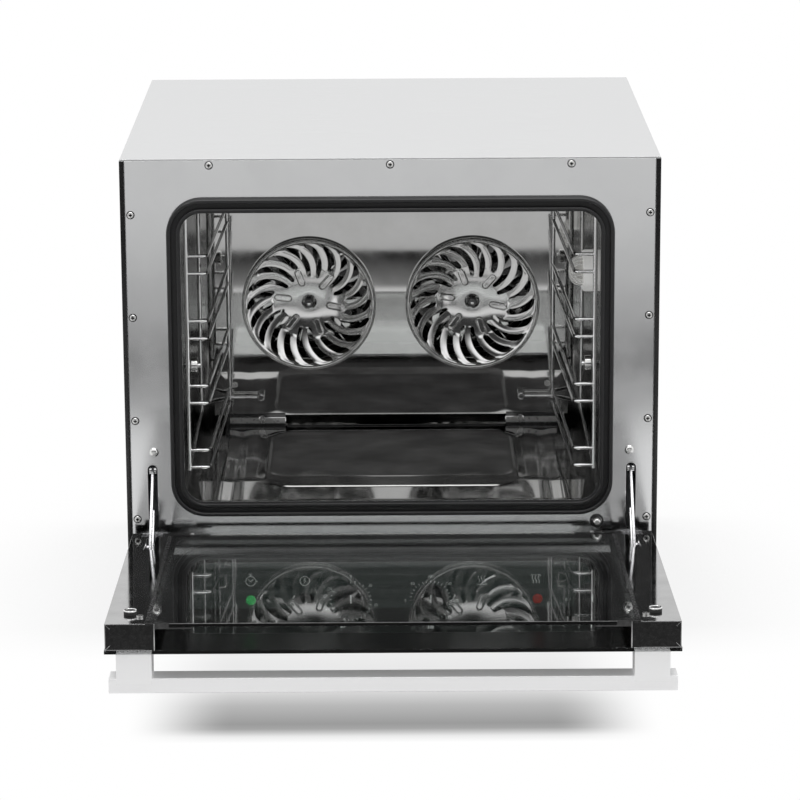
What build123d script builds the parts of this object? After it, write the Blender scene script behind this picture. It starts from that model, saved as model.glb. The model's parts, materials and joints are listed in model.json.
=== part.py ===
"""Countertop convection oven with a drop-down glass door, shown with its door open.

The origin is on the bench, under the middle of the oven with its door open.
+Y points to the back, +Z up.  Sizes are in millimetres.
"""

import os
from math import cos, degrees, radians, sin

from build123d import *

os.makedirs("parts", exist_ok=True)

# Body
body_width = 595.0
body_height = 570.0
body_depth = 564.0
foot_height = 22.0
foot_radius = 19.0
foot_inset_x = 42.0
foot_inset_y = 46.0
foot_chamfer = 1.5
casing_sheet = 1.5
casing_bend = 2.0
edge_lip = 5.6
sheet_gap = 0.2
base_sheet = 1.5
base_flange = 12.0
rear_sheet = 1.5
base_slot_columns = 3
base_slot_rows = 8

# Front frame and the oven mouth
frame_sheet = 1.5
frame_bottom = 107.0
frame_stile = 65.5
frame_head = 59.0
mouth_width = body_width - 2 * frame_stile
mouth_bottom = 180.0
mouth_top = body_height - frame_head
mouth_corner = 24.0
gasket_width = 15.0
gasket_base = 3.5
gasket_lip = 4.6
gasket_lip_round = 1.6
gasket_clearance = 0.3
screw_head_radius = 3.6
screw_head_height = 1.8
screw_head_round = 1.1
screw_cross_length = 3.4
screw_cross_width = 0.8
screw_cross_depth = 0.9
screw_shank_radius = 1.5
screw_shank_length = 7.0
screw_edge_x = 5.8
screw_edge_top = 5.5
top_screw_x = body_width / 2 - 98.5
side_screw_shares = (0.869, 0.618, 0.362, 0.115)
dome_screw_x = body_width / 2 - 31.5
dome_screw_height = 238.0
dome_radius = 5.6
dome_height = 4.4
dome_round = 0.9 * dome_height
hole_clearance = 0.1

# Oven chamber
chamber_width = mouth_width + 12.0
chamber_bottom = mouth_bottom - 5.0
chamber_top = mouth_top + 8.0
chamber_depth = body_depth - 134.0
chamber_corner = 34.0
chamber_sheet = 1.2
floor_panel_width = chamber_width - 178.0
floor_panel_front = 62.0
floor_panel_back = chamber_depth - 125.0
floor_panel_corner = 34.0
floor_panel_rise = 5.0
floor_panel_slope = 4.5
jacket_thickness = 17.0
jacket_gap = 0.3
jacket_front = 42.0
rear_jacket_thickness = 25.0

# Fans behind the baffle
fan_x_share = 0.2076
fan_x = chamber_width * fan_x_share
fan_height = chamber_bottom + 154.0
fan_radius = fan_x - 28.8
fan_hub_radius = 12.0
fan_blades = 14
fan_blade_inner = 40.0
fan_blade_thickness = 1.4
fan_front = chamber_depth - 44.0
fan_disc_back = chamber_depth - 12.0
fan_disc_sheet = 1.4
shaft_radius = 5.0
shaft_front = chamber_depth - 62.0
fan_nut_flat_radius = 6.0
fan_nut_height = 7.0
shaft_in_motor = 30.0
running_clearance = 0.05
motor_radius = 42.0
motor_length = 58.0
motor_gap = 30.0
motor_round = 5.0
motor_neck_radius = 13.0
motor_boss_radius = 4.0
motor_boss_inset = 8.0
shaft_end_gap = 1.0
shaft_hole_gap = 1.5
element_ring = fan_x - 14.8
element_radius = 4.0
element_leg_radius = 3.6
element_depth = chamber_depth - 30.0
element_gap_angle = 12.0
element_leg_angle = 14.0
element_leg_end = chamber_depth + 42.0

# Baffle and the fan guards
baffle_front = chamber_depth - 75.0
baffle_sheet = 1.2
baffle_width = chamber_width - 46.0
baffle_bottom = chamber_bottom + 15.0
baffle_top = chamber_top - 14.0
baffle_flange = 12.0
baffle_hole_radius = fan_x - 23.8
standoff_x = baffle_width / 2 - 25.0
standoff_heights = (baffle_bottom + 38.0, baffle_top - 17.0)
standoff_radius = 5.0
foot_bracket_outer = baffle_width / 2 - 13.0
foot_bracket_lengths = {-1: 73.0, 1: 62.0}
foot_bracket_sheet = 2.0
foot_bracket_height = 17.0
foot_bracket_screw_x = baffle_width / 2 - 57.0
guard_radius = fan_x - 17.8
guard_sheet = 1.2
guard_stand = 9.0
guard_rim = 4.5
guard_slots = 20
slot_inner_share = 0.41
slot_outer_share = 0.88
slot_inner_width = 4.2
slot_outer_width = 12.4
slot_swirl = 21.0
slot_bow = 5.0
guard_ribs = 6
guard_rib_length = 13.0
guard_rib_width = 4.2
guard_rib_height = 0.9
guard_rib_radius = 25.0
guard_first_rib = 50.0
guard_dish = 18.0
guard_dish_share = 0.72
guard_rib_sink = 1.4
guard_rim_rise = 1.8
guard_rim_step = 1.0
guard_hub_hole = 9.0

# Tray racks
rack_rod_x = chamber_width / 2 - 9.0
rack_rod_radius = 2.5
rack_front = 48.0
rack_back = baffle_front - 40.0
rack_inner_x = rack_rod_x - 33.0
rack_inner_back = baffle_front - 10.0
rack_bend_x = rack_rod_x - 23.0
rack_wire_radius = 2.0
rack_bend = 7.0
rack_bottom = mouth_bottom + 23.8
rack_top = mouth_top - 9.7
rack_first_level = rack_bottom + 3.5
rack_levels = 4
rack_pitch_margin = 4.8
rack_pitch = (rack_top - rack_first_level + rack_pitch_margin) / rack_levels
rack_pair_gap = 20.0
rack_inner_bottom = rack_bottom + 8.5
rack_inner_top = rack_top - 26.0
rack_stub_height = rack_bottom + 11.0
rack_hook_x = rack_rod_x - 71.0
hook_radius = 4.5
hook_reach = 14.0
hook_round = 1.5
stud_back = rack_front + 8.5
stud_height = mouth_bottom + 144.0
stud_radius = 3.0
stud_end = 3.0
thumb_nut_radius = 9.0
thumb_nut_length = 8.5
thumb_nut_gap = 0.2
thumb_nut_round = 1.4

# Oven lamp
lamp_back = 245.0
lamp_height = mouth_bottom + 211.0
lamp_collar_radius = 24.5
lamp_collar_reach = 16.0
lamp_collar_round = 2.5
lamp_glass_radius = 18.4
lamp_glass_reach = 29.0
lamp_glass_wall = 2.2
lamp_glass_round = 12.0
lamp_socket_radius = 21.0
lamp_socket_depth = 26.0
lamp_bulb_radius = 9.0
lamp_bulb_gap = 6.6

# Door, opened to its stop a little above level
door_lift = 3.4
door_travel = 90.0 - door_lift
door_width = body_width - 12.0
door_length = body_height - 159.5
pivot_out = 26.0
pivot_height = 133.0
hinge_overhang = 6.5
door_inner_face = 16.0
door_outer_face = -15.5
outer_glass = 4.0
glass_corner = 0.8
inner_glass = 4.0
inner_glass_side_gap = 1.5
inner_glass_end_gap = 2.0
inner_glass_hinge_gap = 4.0
channel_width = 41.0
channel_edge_gap = 1.0
channel_sheet = 1.5
inner_glass_width = door_width - 2 * (channel_edge_gap + channel_width + inner_glass_side_gap)
ledge_width = 9.5
pocket_half_width = 11.6
pocket_end = 10.0
arm_slot_half_width = 5.0
arm_slot_end = 74.0
clip_width = 24.0
clip_sheet = 1.2
clip_depth = 8.0
leaf_width = 22.0
leaf_depth = 9.0
leaf_sheet = 1.6
bumper_x = door_width / 2 - 24.5
bumper_along = door_length - 47.5
bumper_radius = 6.8
bumper_height = 4.2
cap_screw_x = door_width / 2 - 35.0
cap_screw_along = door_length - 34.5

# Hinges
hinge_x = body_width / 2 - 29.5
hinge_slot_width = 11.0
hinge_slot_bottom = 147.0
hinge_slot_top = 223.0
pivot_pin_radius = 4.0
arm_pin_radius = 3.0
pin_fit = 0.02
pin_end_gap = 0.2
ear_radius = 7.4
ear_thickness = 2.4
ear_inner = 7.0
bracket_plate = 1.5
bracket_plate_bottom = 121.5
bracket_plate_top = 143.5
bracket_plate_width = 27.0
arm_along = 48.0
arm_rise = 2.0
arm_thickness = 8.4
arm_wall = 0.9
arm_trough_floor = -4.4
arm_trough_gap = 3.0
arm_rod_radius = 1.2
arm_rod_rise = 1.0
arm_length = 112.0
arm_open_angle = 43.7
arm_turn = 25.4
arm_eye_radius = 8.0
arm_end_radius = 5.6
roller_radius = 5.0
roller_width = 9.6
housing_sheet = 1.5
housing_half_width = 9.5
housing_slot_gap = 0.5
housing_bottom = 130.0
housing_top = 245.0
housing_depth = 113.5

# Handle
bar_length = door_width - 8.0
bar_width = 30.0
bar_thickness = 15.5
bar_edge_round = 1.2
bar_setback = 3.0
handle_standoff = 26.0
grip_bracket_width = 36.0
grip_bracket_inner = door_width / 2 - 47.9
grip_bracket_lap = 6.0
grip_bracket_lap_sheet = 1.6

# Control panel
panel_sheet = 3.0
panel_top = 105.0
control_height = 56.0
knob_places = {"timer_knob": -47.0, "thermostat_knob": 43.0, "selector_knob": body_width / 2 - 72.5}
knob_skirt_radius = 19.0
knob_skirt = 3.0
knob_radius = 15.5
knob_length = 18.0
knob_taper = 2.0
knob_edge = 1.2
knob_mark_width = 1.6
knob_mark_depth = 0.8
knob_gap = 0.3
knob_shaft_radius = 3.0
knob_shaft_end = 14.0
control_unit_size = 40.0
control_unit_depth = 30.0
control_neck_radius = 5.0
control_neck_gap = 0.4
control_shaft_gap = 0.5
button_x = -99.0
button_radius = 8.0
button_reach = 5.0
button_travel = 3.0
button_bezel_radius = 11.0
button_bezel_height = 2.0
button_depth = 9.0
button_unit_size = 26.0
button_unit_depth = 24.0
button_round = 1.0
switch_end_gap = 0.3
pilot_height = 58.0
pilot_places = {"pilot_lamp_green": -160.0, "pilot_lamp_red": 164.0}
pilot_radius = 4.5
pilot_reach = 2.0
pilot_depth = 20.0
pilot_round = 1.6

# Door switch
switch_x = body_width / 2 - 67.5
switch_height = 155.5
switch_bezel_radius = 7.6
switch_bezel_height = 2.0
plunger_radius = 4.2
plunger_reach = 9.4
plunger_travel = 4.0
plunger_depth = 20.0
plunger_round = 2.2
switch_unit_width = 24.0
switch_unit_height = 18.0
switch_unit_depth = 34.0
slide_clearance = 0.3

# Rear fittings
vent_radius = 15.0
vent_bore = 12.5
vent_height = body_height - 100.0
vent_reach = 18.0
louvre_width = 46.0
louvre_height = 4.0
louvre_pitch = 11.0
louvre_rows = 12
louvre_x = fan_x
louvre_z = body_height / 2 + 15.0
gland_x = 82.5 - body_width / 2
gland_height = 62.0
gland_radius = 12.0
gland_bore = 4.5
gland_neck = 8.0
gland_neck_inner = 6.0
gland_cap_share = 0.82
gland_cap_taper = 8.0
gland_bore_end = 20.0
gland_reach = 16.0
terminal_size = (62.0, 26.0, 24.0)
terminal_gap = 30.0
terminal_poles = 5
terminal_hole_radius = 3.0
terminal_hole_depth = 8.0

# Places that follow from the sizes above
lift = radians(door_lift)
free_end = door_length - hinge_overhang
bracket_front = free_end - bar_setback + grip_bracket_lap_sheet
bar_top = door_outer_face - handle_standoff
reach_out = pivot_out + bracket_front * cos(lift) - (bar_top - grip_bracket_lap) * sin(lift)
glass_reach_out = pivot_out + free_end * cos(lift) - door_outer_face * sin(lift)
front_reach = max(reach_out, glass_reach_out)
rear_reach = body_depth + vent_reach
front_y = (front_reach - rear_reach) / 2
inner_half_width = body_width / 2 - casing_sheet - sheet_gap
frame_half_width = body_width / 2 - edge_lip
frame_top = body_height - casing_sheet - sheet_gap
mouth_middle = (mouth_bottom + mouth_top) / 2
mouth_height = mouth_top - mouth_bottom
chamber_middle = (chamber_bottom + chamber_top) / 2
chamber_height = chamber_top - chamber_bottom
chamber_wall = chamber_width / 2
back_plate_rear = chamber_depth + chamber_sheet
motor_front = back_plate_rear + motor_gap
rear_panel_front = body_depth - rear_sheet - sheet_gap
guard_front = baffle_front - guard_stand
gasket_reach = pivot_out - door_inner_face - gasket_clearance
base_top = foot_height + base_sheet
channel_outer = door_width / 2 - channel_edge_gap
channel_inner = channel_outer - channel_width
channel_bottom = door_outer_face + outer_glass
glass_free_edge = inner_glass_end_gap - free_end
glass_hinge_edge = hinge_overhang - inner_glass_hinge_gap
lip_width = edge_lip - casing_sheet / 2
lip_middle = body_width / 2 - casing_sheet / 2 - lip_width / 2
sides = (("left", -1), ("right", 1))


def facing(back):
    """Plane that looks out of the oven's front, a distance behind its front face."""
    return Plane(origin=(0, front_y + back, 0), x_dir=(1, 0, 0), z_dir=(0, -1, 0))


def wall_plane(x, back, height, direction):
    """Plane square to X at a point, facing along X in the given direction."""
    return Plane(origin=(x, front_y + back, height), x_dir=(0, 1, 0), z_dir=(direction, 0, 0))


def centre_of(low, high):
    """Half way between two heights or distances."""
    return (low + high) / 2


door_plane = Plane(
    origin=(0, front_y - pivot_out, pivot_height),
    x_dir=(1, 0, 0),
    z_dir=(0, sin(lift), cos(lift)),
)


def door_side_plane(x, along, rise):
    """Plane square to X at a point of the door: along it from the pivot, and up from its middle."""
    return Plane(
        origin=door_plane.from_local_coords((x, -along, rise)),
        x_dir=(0, cos(lift), -sin(lift)),
        z_dir=(1, 0, 0),
    )


# Casing cover: one sheet over the top and both sides, with lips at the front
with BuildPart() as casing_cover:
    with BuildSketch(facing(0)):
        with Locations((0, centre_of(foot_height, body_height))):
            Rectangle(body_width, body_height - foot_height)
        with Locations((0, centre_of(foot_height, body_height) - casing_sheet)):
            Rectangle(body_width - 2 * casing_sheet, body_height - foot_height, mode=Mode.SUBTRACT)
    extrude(amount=-body_depth)
    fillet(casing_cover.edges().filter_by(Axis.Y).group_by(Axis.Z)[-1], casing_bend)
    with BuildSketch(facing(0)):
        with Locations(*[(s * lip_middle, centre_of(foot_height, frame_top)) for s in (-1, 1)]):
            Rectangle(lip_width, frame_top - foot_height)
    extrude(amount=-casing_sheet)
casing_cover.part.label = "casing_cover"
export_step(casing_cover.part, "parts/casing_cover.step")

# Base pan with turned-up edges and rows of vent slots
base_front = panel_sheet + sheet_gap
base_back = rear_panel_front - sheet_gap
with BuildPart() as base_pan:
    with BuildSketch(Plane.XY.offset(foot_height)):
        with Locations((0, front_y + centre_of(base_front, base_back))):
            Rectangle(2 * inner_half_width, base_back - base_front)
    extrude(amount=base_sheet + base_flange)
    with BuildSketch(Plane.XY.offset(base_top)):
        with Locations((0, front_y + centre_of(base_front, base_back))):
            Rectangle(2 * (inner_half_width - base_sheet), base_back - base_front - 2 * base_sheet)
    extrude(amount=base_flange, mode=Mode.SUBTRACT)
    with BuildSketch(Plane.XY.offset(foot_height)):
        with Locations((0, front_y + centre_of(base_front, base_back))):
            with GridLocations((body_width - 115) / 4, 2 * louvre_pitch, base_slot_columns, base_slot_rows):
                SlotOverall(louvre_width, louvre_height + 1)
    extrude(amount=base_sheet, mode=Mode.SUBTRACT)
base_pan.part.label = "base_pan"
export_step(base_pan.part, "parts/base_pan.step")

# Four rubber feet
with BuildPart() as feet:
    with BuildSketch(Plane.XY):
        with Locations((0, front_y + body_depth / 2)):
            with GridLocations(body_width - 2 * foot_inset_x, body_depth - 2 * foot_inset_y, 2, 2):
                Circle(foot_radius)
    extrude(amount=foot_height)
    chamfer(feet.faces().group_by(Axis.Z)[0].edges(), foot_chamfer)
feet.part.label = "feet"
export_step(feet.part, "parts/feet.step")

# Rear panel with two fields of louvres, the vent hole and the gland hole
with BuildPart() as rear_panel:
    with BuildSketch(facing(rear_panel_front)):
        with Locations((0, centre_of(base_top, frame_top))):
            Rectangle(2 * inner_half_width, frame_top - base_top)
        with Locations((louvre_x, louvre_z), (-louvre_x, louvre_z)):
            with GridLocations(1.5 * louvre_width, louvre_pitch, 2, louvre_rows):
                SlotOverall(louvre_width, louvre_height, mode=Mode.SUBTRACT)
        with Locations((0, vent_height)):
            Circle(vent_radius + hole_clearance, mode=Mode.SUBTRACT)
        with Locations((gland_x, gland_height)):
            Circle(gland_neck + hole_clearance, mode=Mode.SUBTRACT)
    extrude(amount=-rear_sheet)
rear_panel.part.label = "rear_panel"
export_step(rear_panel.part, "parts/rear_panel.step")

# Front frame: the stainless face round the oven mouth
top_screws = [(x, frame_top - screw_edge_top) for x in (-top_screw_x, 0, top_screw_x)]
edge_screws = [
    (side * (frame_half_width - screw_edge_x), frame_bottom + share * (frame_top - frame_bottom))
    for side in (-1, 1)
    for share in side_screw_shares
]
frame_screw_places = top_screws + edge_screws
with BuildPart() as front_frame:
    with BuildSketch(facing(0)):
        with Locations((0, centre_of(frame_bottom, frame_top))):
            Rectangle(2 * frame_half_width - 2 * sheet_gap, frame_top - frame_bottom)
        with Locations((0, mouth_middle)):
            RectangleRounded(mouth_width, mouth_height, mouth_corner, mode=Mode.SUBTRACT)
        with Locations(*[(s * hinge_x, centre_of(hinge_slot_bottom, hinge_slot_top)) for s in (-1, 1)]):
            SlotOverall(
                hinge_slot_top - hinge_slot_bottom, hinge_slot_width, rotation=90, mode=Mode.SUBTRACT
            )
        with Locations(*frame_screw_places):
            Circle(screw_shank_radius + hole_clearance, mode=Mode.SUBTRACT)
        with Locations((dome_screw_x, dome_screw_height), (-dome_screw_x, dome_screw_height)):
            Circle(screw_shank_radius + hole_clearance, mode=Mode.SUBTRACT)
        with Locations((switch_x, switch_height)):
            Circle(plunger_radius + slide_clearance, mode=Mode.SUBTRACT)
    extrude(amount=-frame_sheet)
front_frame.part.label = "front_frame"
export_step(front_frame.part, "parts/front_frame.step")

# Pan-head screws of the front frame, with cross slots
with BuildPart() as frame_screws:
    with BuildSketch(facing(0)):
        with Locations(*frame_screw_places):
            Circle(screw_head_radius)
    extrude(amount=screw_head_height)
    fillet(frame_screws.faces().group_by(Axis.Y)[0].edges(), screw_head_round)
    with BuildSketch(facing(0)):
        with Locations(*frame_screw_places):
            Circle(screw_shank_radius)
    extrude(amount=-screw_shank_length)
    with BuildSketch(facing(-screw_head_height)):
        with Locations(*frame_screw_places):
            Rectangle(screw_cross_width, screw_cross_length)
            Rectangle(screw_cross_length, screw_cross_width)
    extrude(amount=-screw_cross_depth, mode=Mode.SUBTRACT)
frame_screws.part.label = "frame_screws"
export_step(frame_screws.part, "parts/frame_screws.step")

# Domed screws above the hinge slots
with BuildPart() as dome_screws:
    for side in (-1, 1):
        with BuildSketch(facing(0)):
            with Locations((side * dome_screw_x, dome_screw_height)):
                Circle(dome_radius)
        extrude(amount=dome_height)
        with BuildSketch(facing(0)):
            with Locations((side * dome_screw_x, dome_screw_height)):
                Circle(screw_shank_radius)
        extrude(amount=-screw_shank_length)
    fillet(dome_screws.faces().group_by(Axis.Y)[0].edges(), dome_round)
dome_screws.part.label = "dome_screws"
export_step(dome_screws.part, "parts/dome_screws.step")

# Door gasket: a rubber base strip with an outer and an inner lip
with BuildPart() as door_gasket:
    with BuildSketch(facing(0)):
        with Locations((0, mouth_middle)):
            RectangleRounded(
                mouth_width + 2 * gasket_width, mouth_height + 2 * gasket_width, mouth_corner + gasket_width
            )
            RectangleRounded(mouth_width, mouth_height, mouth_corner, mode=Mode.SUBTRACT)
    extrude(amount=gasket_base)
    for grow in (0.0, gasket_width - gasket_lip):
        with BuildSketch(facing(-gasket_base)):
            with Locations((0, mouth_middle)):
                RectangleRounded(
                    mouth_width + 2 * (grow + gasket_lip),
                    mouth_height + 2 * (grow + gasket_lip),
                    mouth_corner + grow + gasket_lip,
                )
                RectangleRounded(
                    mouth_width + 2 * grow, mouth_height + 2 * grow, mouth_corner + grow, mode=Mode.SUBTRACT
                )
        extrude(amount=gasket_reach - gasket_base)
    fillet(door_gasket.faces().group_by(Axis.Y)[0].edges(), gasket_lip_round)
door_gasket.part.label = "door_gasket"
export_step(door_gasket.part, "parts/door_gasket.step")

# Oven chamber: a seamless tube with a front flange and a raised floor panel
with BuildPart() as chamber_shell:
    with BuildSketch(facing(frame_sheet)):
        with Locations((0, chamber_middle)):
            RectangleRounded(
                chamber_width + 2 * chamber_sheet,
                chamber_height + 2 * chamber_sheet,
                chamber_corner + chamber_sheet,
            )
    extrude(amount=frame_sheet - chamber_depth)
    with BuildSketch(facing(frame_sheet + chamber_sheet)):
        with Locations((0, chamber_middle)):
            RectangleRounded(chamber_width, chamber_height, chamber_corner)
    extrude(amount=-chamber_depth, mode=Mode.SUBTRACT)
    with BuildSketch(facing(0)):
        with Locations((0, mouth_middle)):
            RectangleRounded(mouth_width, mouth_height, mouth_corner)
    extrude(amount=-(frame_sheet + 2 * chamber_sheet), mode=Mode.SUBTRACT)
    with BuildSketch(Plane.XY.offset(chamber_bottom)):
        with Locations((0, front_y + centre_of(floor_panel_front, floor_panel_back))):
            RectangleRounded(floor_panel_width, floor_panel_back - floor_panel_front, floor_panel_corner)
    extrude(amount=floor_panel_rise)
    panel_y = front_y + centre_of(floor_panel_front, floor_panel_back)
    panel_middle = (0, panel_y, chamber_bottom + floor_panel_rise)
    panel_face = chamber_shell.faces().filter_by(Axis.Z).sort_by_distance(panel_middle)[0]
    chamfer(panel_face.edges(), floor_panel_slope)
    with BuildSketch(wall_plane(chamber_wall - 1, lamp_back, lamp_height, 1)):
        Circle(lamp_glass_radius + slide_clearance)
    extrude(amount=2 * chamber_sheet + 1, mode=Mode.SUBTRACT)
chamber_shell.part.label = "chamber_shell"
export_step(chamber_shell.part, "parts/chamber_shell.step")

# Back plate of the chamber
fan_centres = [(side * fan_x, fan_height) for side in (-1, 1)]
leg_offset = element_ring * sin(radians(element_leg_angle))
leg_height = fan_height + element_ring * cos(radians(element_leg_angle))
leg_places = [(side * fan_x + step * leg_offset, leg_height) for side in (-1, 1) for step in (-1, 1)]
with BuildPart() as chamber_back:
    with BuildSketch(facing(chamber_depth)):
        with Locations((0, chamber_middle)):
            RectangleRounded(
                chamber_width + 2 * chamber_sheet,
                chamber_height + 2 * chamber_sheet,
                chamber_corner + chamber_sheet,
            )
        with Locations(*fan_centres):
            Circle(shaft_radius + shaft_hole_gap, mode=Mode.SUBTRACT)
        with Locations(*leg_places):
            Circle(element_leg_radius + slide_clearance, mode=Mode.SUBTRACT)
        with Locations((0, vent_height)):
            Circle(vent_bore, mode=Mode.SUBTRACT)
    extrude(amount=-chamber_sheet)
chamber_back.part.label = "chamber_back"
export_step(chamber_back.part, "parts/chamber_back.step")

# Insulation: a jacket round the chamber and a slab behind it
jacket_inner = chamber_sheet + jacket_gap
jacket_outer = jacket_inner + jacket_thickness
with BuildPart() as insulation_jacket:
    with BuildSketch(facing(jacket_front)):
        with Locations((0, chamber_middle)):
            RectangleRounded(
                chamber_width + 2 * jacket_outer,
                chamber_height + 2 * jacket_outer,
                chamber_corner + jacket_outer,
            )
            RectangleRounded(
                chamber_width + 2 * jacket_inner,
                chamber_height + 2 * jacket_inner,
                chamber_corner + jacket_inner,
                mode=Mode.SUBTRACT,
            )
    extrude(amount=jacket_front - chamber_depth)
    with BuildSketch(wall_plane(chamber_wall, lamp_back, lamp_height, 1)):
        Circle(lamp_socket_radius + 1)
    extrude(amount=jacket_outer + 1, mode=Mode.SUBTRACT)
insulation_jacket.part.label = "insulation_jacket"
export_step(insulation_jacket.part, "parts/insulation_jacket.step")

with BuildPart() as rear_insulation:
    with BuildSketch(facing(back_plate_rear)):
        with Locations((0, chamber_middle)):
            RectangleRounded(chamber_width, chamber_height, chamber_corner)
        with Locations(*fan_centres):
            Circle(motor_neck_radius + slide_clearance, mode=Mode.SUBTRACT)
        with Locations(*leg_places):
            Circle(element_leg_radius + slide_clearance, mode=Mode.SUBTRACT)
        with Locations((0, vent_height)):
            Circle(vent_radius + slide_clearance, mode=Mode.SUBTRACT)
    extrude(amount=-rear_jacket_thickness)
rear_insulation.part.label = "rear_insulation"
export_step(rear_insulation.part, "parts/rear_insulation.step")

# Fan baffle: polished sheet with two round holes, a low slot and folded side edges
with BuildPart() as fan_baffle:
    with BuildSketch(facing(baffle_front)):
        with Locations((0, centre_of(baffle_bottom, baffle_top))):
            Rectangle(baffle_width, baffle_top - baffle_bottom)
        with Locations(*fan_centres):
            Circle(baffle_hole_radius, mode=Mode.SUBTRACT)
        with Locations(*[(s * standoff_x, height) for s in (-1, 1) for height in standoff_heights]):
            Circle(screw_shank_radius + hole_clearance, mode=Mode.SUBTRACT)
    extrude(amount=-baffle_sheet)
    with BuildSketch(facing(baffle_front)):
        for side in (-1, 1):
            with Locations((side * (baffle_width - baffle_sheet) / 2, centre_of(baffle_bottom, baffle_top))):
                Rectangle(baffle_sheet, baffle_top - baffle_bottom)
        with Locations((0, baffle_top - baffle_sheet / 2)):
            Rectangle(baffle_width, baffle_sheet)
    extrude(amount=-baffle_flange)
fan_baffle.part.label = "fan_baffle"
export_step(fan_baffle.part, "parts/fan_baffle.step")

# Standoffs that carry the baffle on the chamber's back plate
with BuildPart() as baffle_standoffs:
    with BuildSketch(facing(baffle_front + baffle_sheet)):
        with Locations(*[(s * standoff_x, height) for s in (-1, 1) for height in standoff_heights]):
            Circle(standoff_radius)
            Circle(screw_shank_radius + hole_clearance, mode=Mode.SUBTRACT)
    extrude(amount=baffle_front + baffle_sheet - chamber_depth)
baffle_standoffs.part.label = "baffle_standoffs"
export_step(baffle_standoffs.part, "parts/baffle_standoffs.step")

# Angle brackets that hold the baffle's foot beside the low slot
with BuildPart() as baffle_brackets:
    for side, foot_bracket_width in foot_bracket_lengths.items():
        foot_bracket_middle = foot_bracket_outer - foot_bracket_width / 2
        with BuildSketch(facing(baffle_front - foot_bracket_sheet)):
            with Locations((side * foot_bracket_middle, chamber_bottom + foot_bracket_height / 2)):
                Rectangle(foot_bracket_width, foot_bracket_height)
            with Locations((side * foot_bracket_screw_x, chamber_bottom + foot_bracket_height / 2)):
                Circle(screw_shank_radius + hole_clearance, mode=Mode.SUBTRACT)
        extrude(amount=-foot_bracket_sheet)
        with BuildSketch(facing(baffle_front - foot_bracket_sheet)):
            with Locations((side * foot_bracket_middle, chamber_bottom + foot_bracket_sheet / 2)):
                Rectangle(foot_bracket_width, foot_bracket_sheet)
        extrude(amount=foot_bracket_height)
baffle_brackets.part.label = "baffle_brackets"
export_step(baffle_brackets.part, "parts/baffle_brackets.step")

# Screws of the baffle and of its foot brackets
standoff_places = [(s * standoff_x, height) for s in (-1, 1) for height in standoff_heights]
foot_screw_places = [(s * foot_bracket_screw_x, chamber_bottom + foot_bracket_height / 2) for s in (-1, 1)]
with BuildPart() as baffle_screws:
    for seat, places in (
        (baffle_front, standoff_places),
        (baffle_front - foot_bracket_sheet, foot_screw_places),
    ):
        with BuildSketch(facing(seat)):
            with Locations(*places):
                Circle(screw_head_radius)
        extrude(amount=screw_head_height)
        with BuildSketch(facing(seat)):
            with Locations(*places):
                Circle(screw_shank_radius)
        extrude(amount=-screw_shank_length)
baffle_screws.part.label = "baffle_screws"
export_step(baffle_screws.part, "parts/baffle_screws.step")


def swirl_point(radius, angle):
    """Point of the guard's face at a radius and an angle from its middle."""
    return (radius * cos(radians(angle)), radius * sin(radians(angle)))


def swirl_outline():
    """Outline of one curved, outward-widening slot of a fan guard."""
    inner = slot_inner_share * guard_radius
    outer = slot_outer_share * guard_radius
    middle = (inner + outer) / 2
    widths = (slot_inner_width, (slot_inner_width + slot_outer_width) / 2, slot_outer_width)
    stations = ((inner, 0.0), (middle, slot_swirl / 2 - slot_bow), (outer, slot_swirl))
    left = []
    right = []
    for (radius, angle), width in zip(stations, widths):
        half = degrees(width / 2 / radius)
        left.append(swirl_point(radius, angle + half))
        right.append(swirl_point(radius, angle - half))
    inner_tip = swirl_point(inner - slot_inner_width / 2, 0)
    outer_tip = swirl_point(outer + slot_outer_width / 3, slot_swirl)
    return left, right, inner_tip, outer_tip


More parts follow.
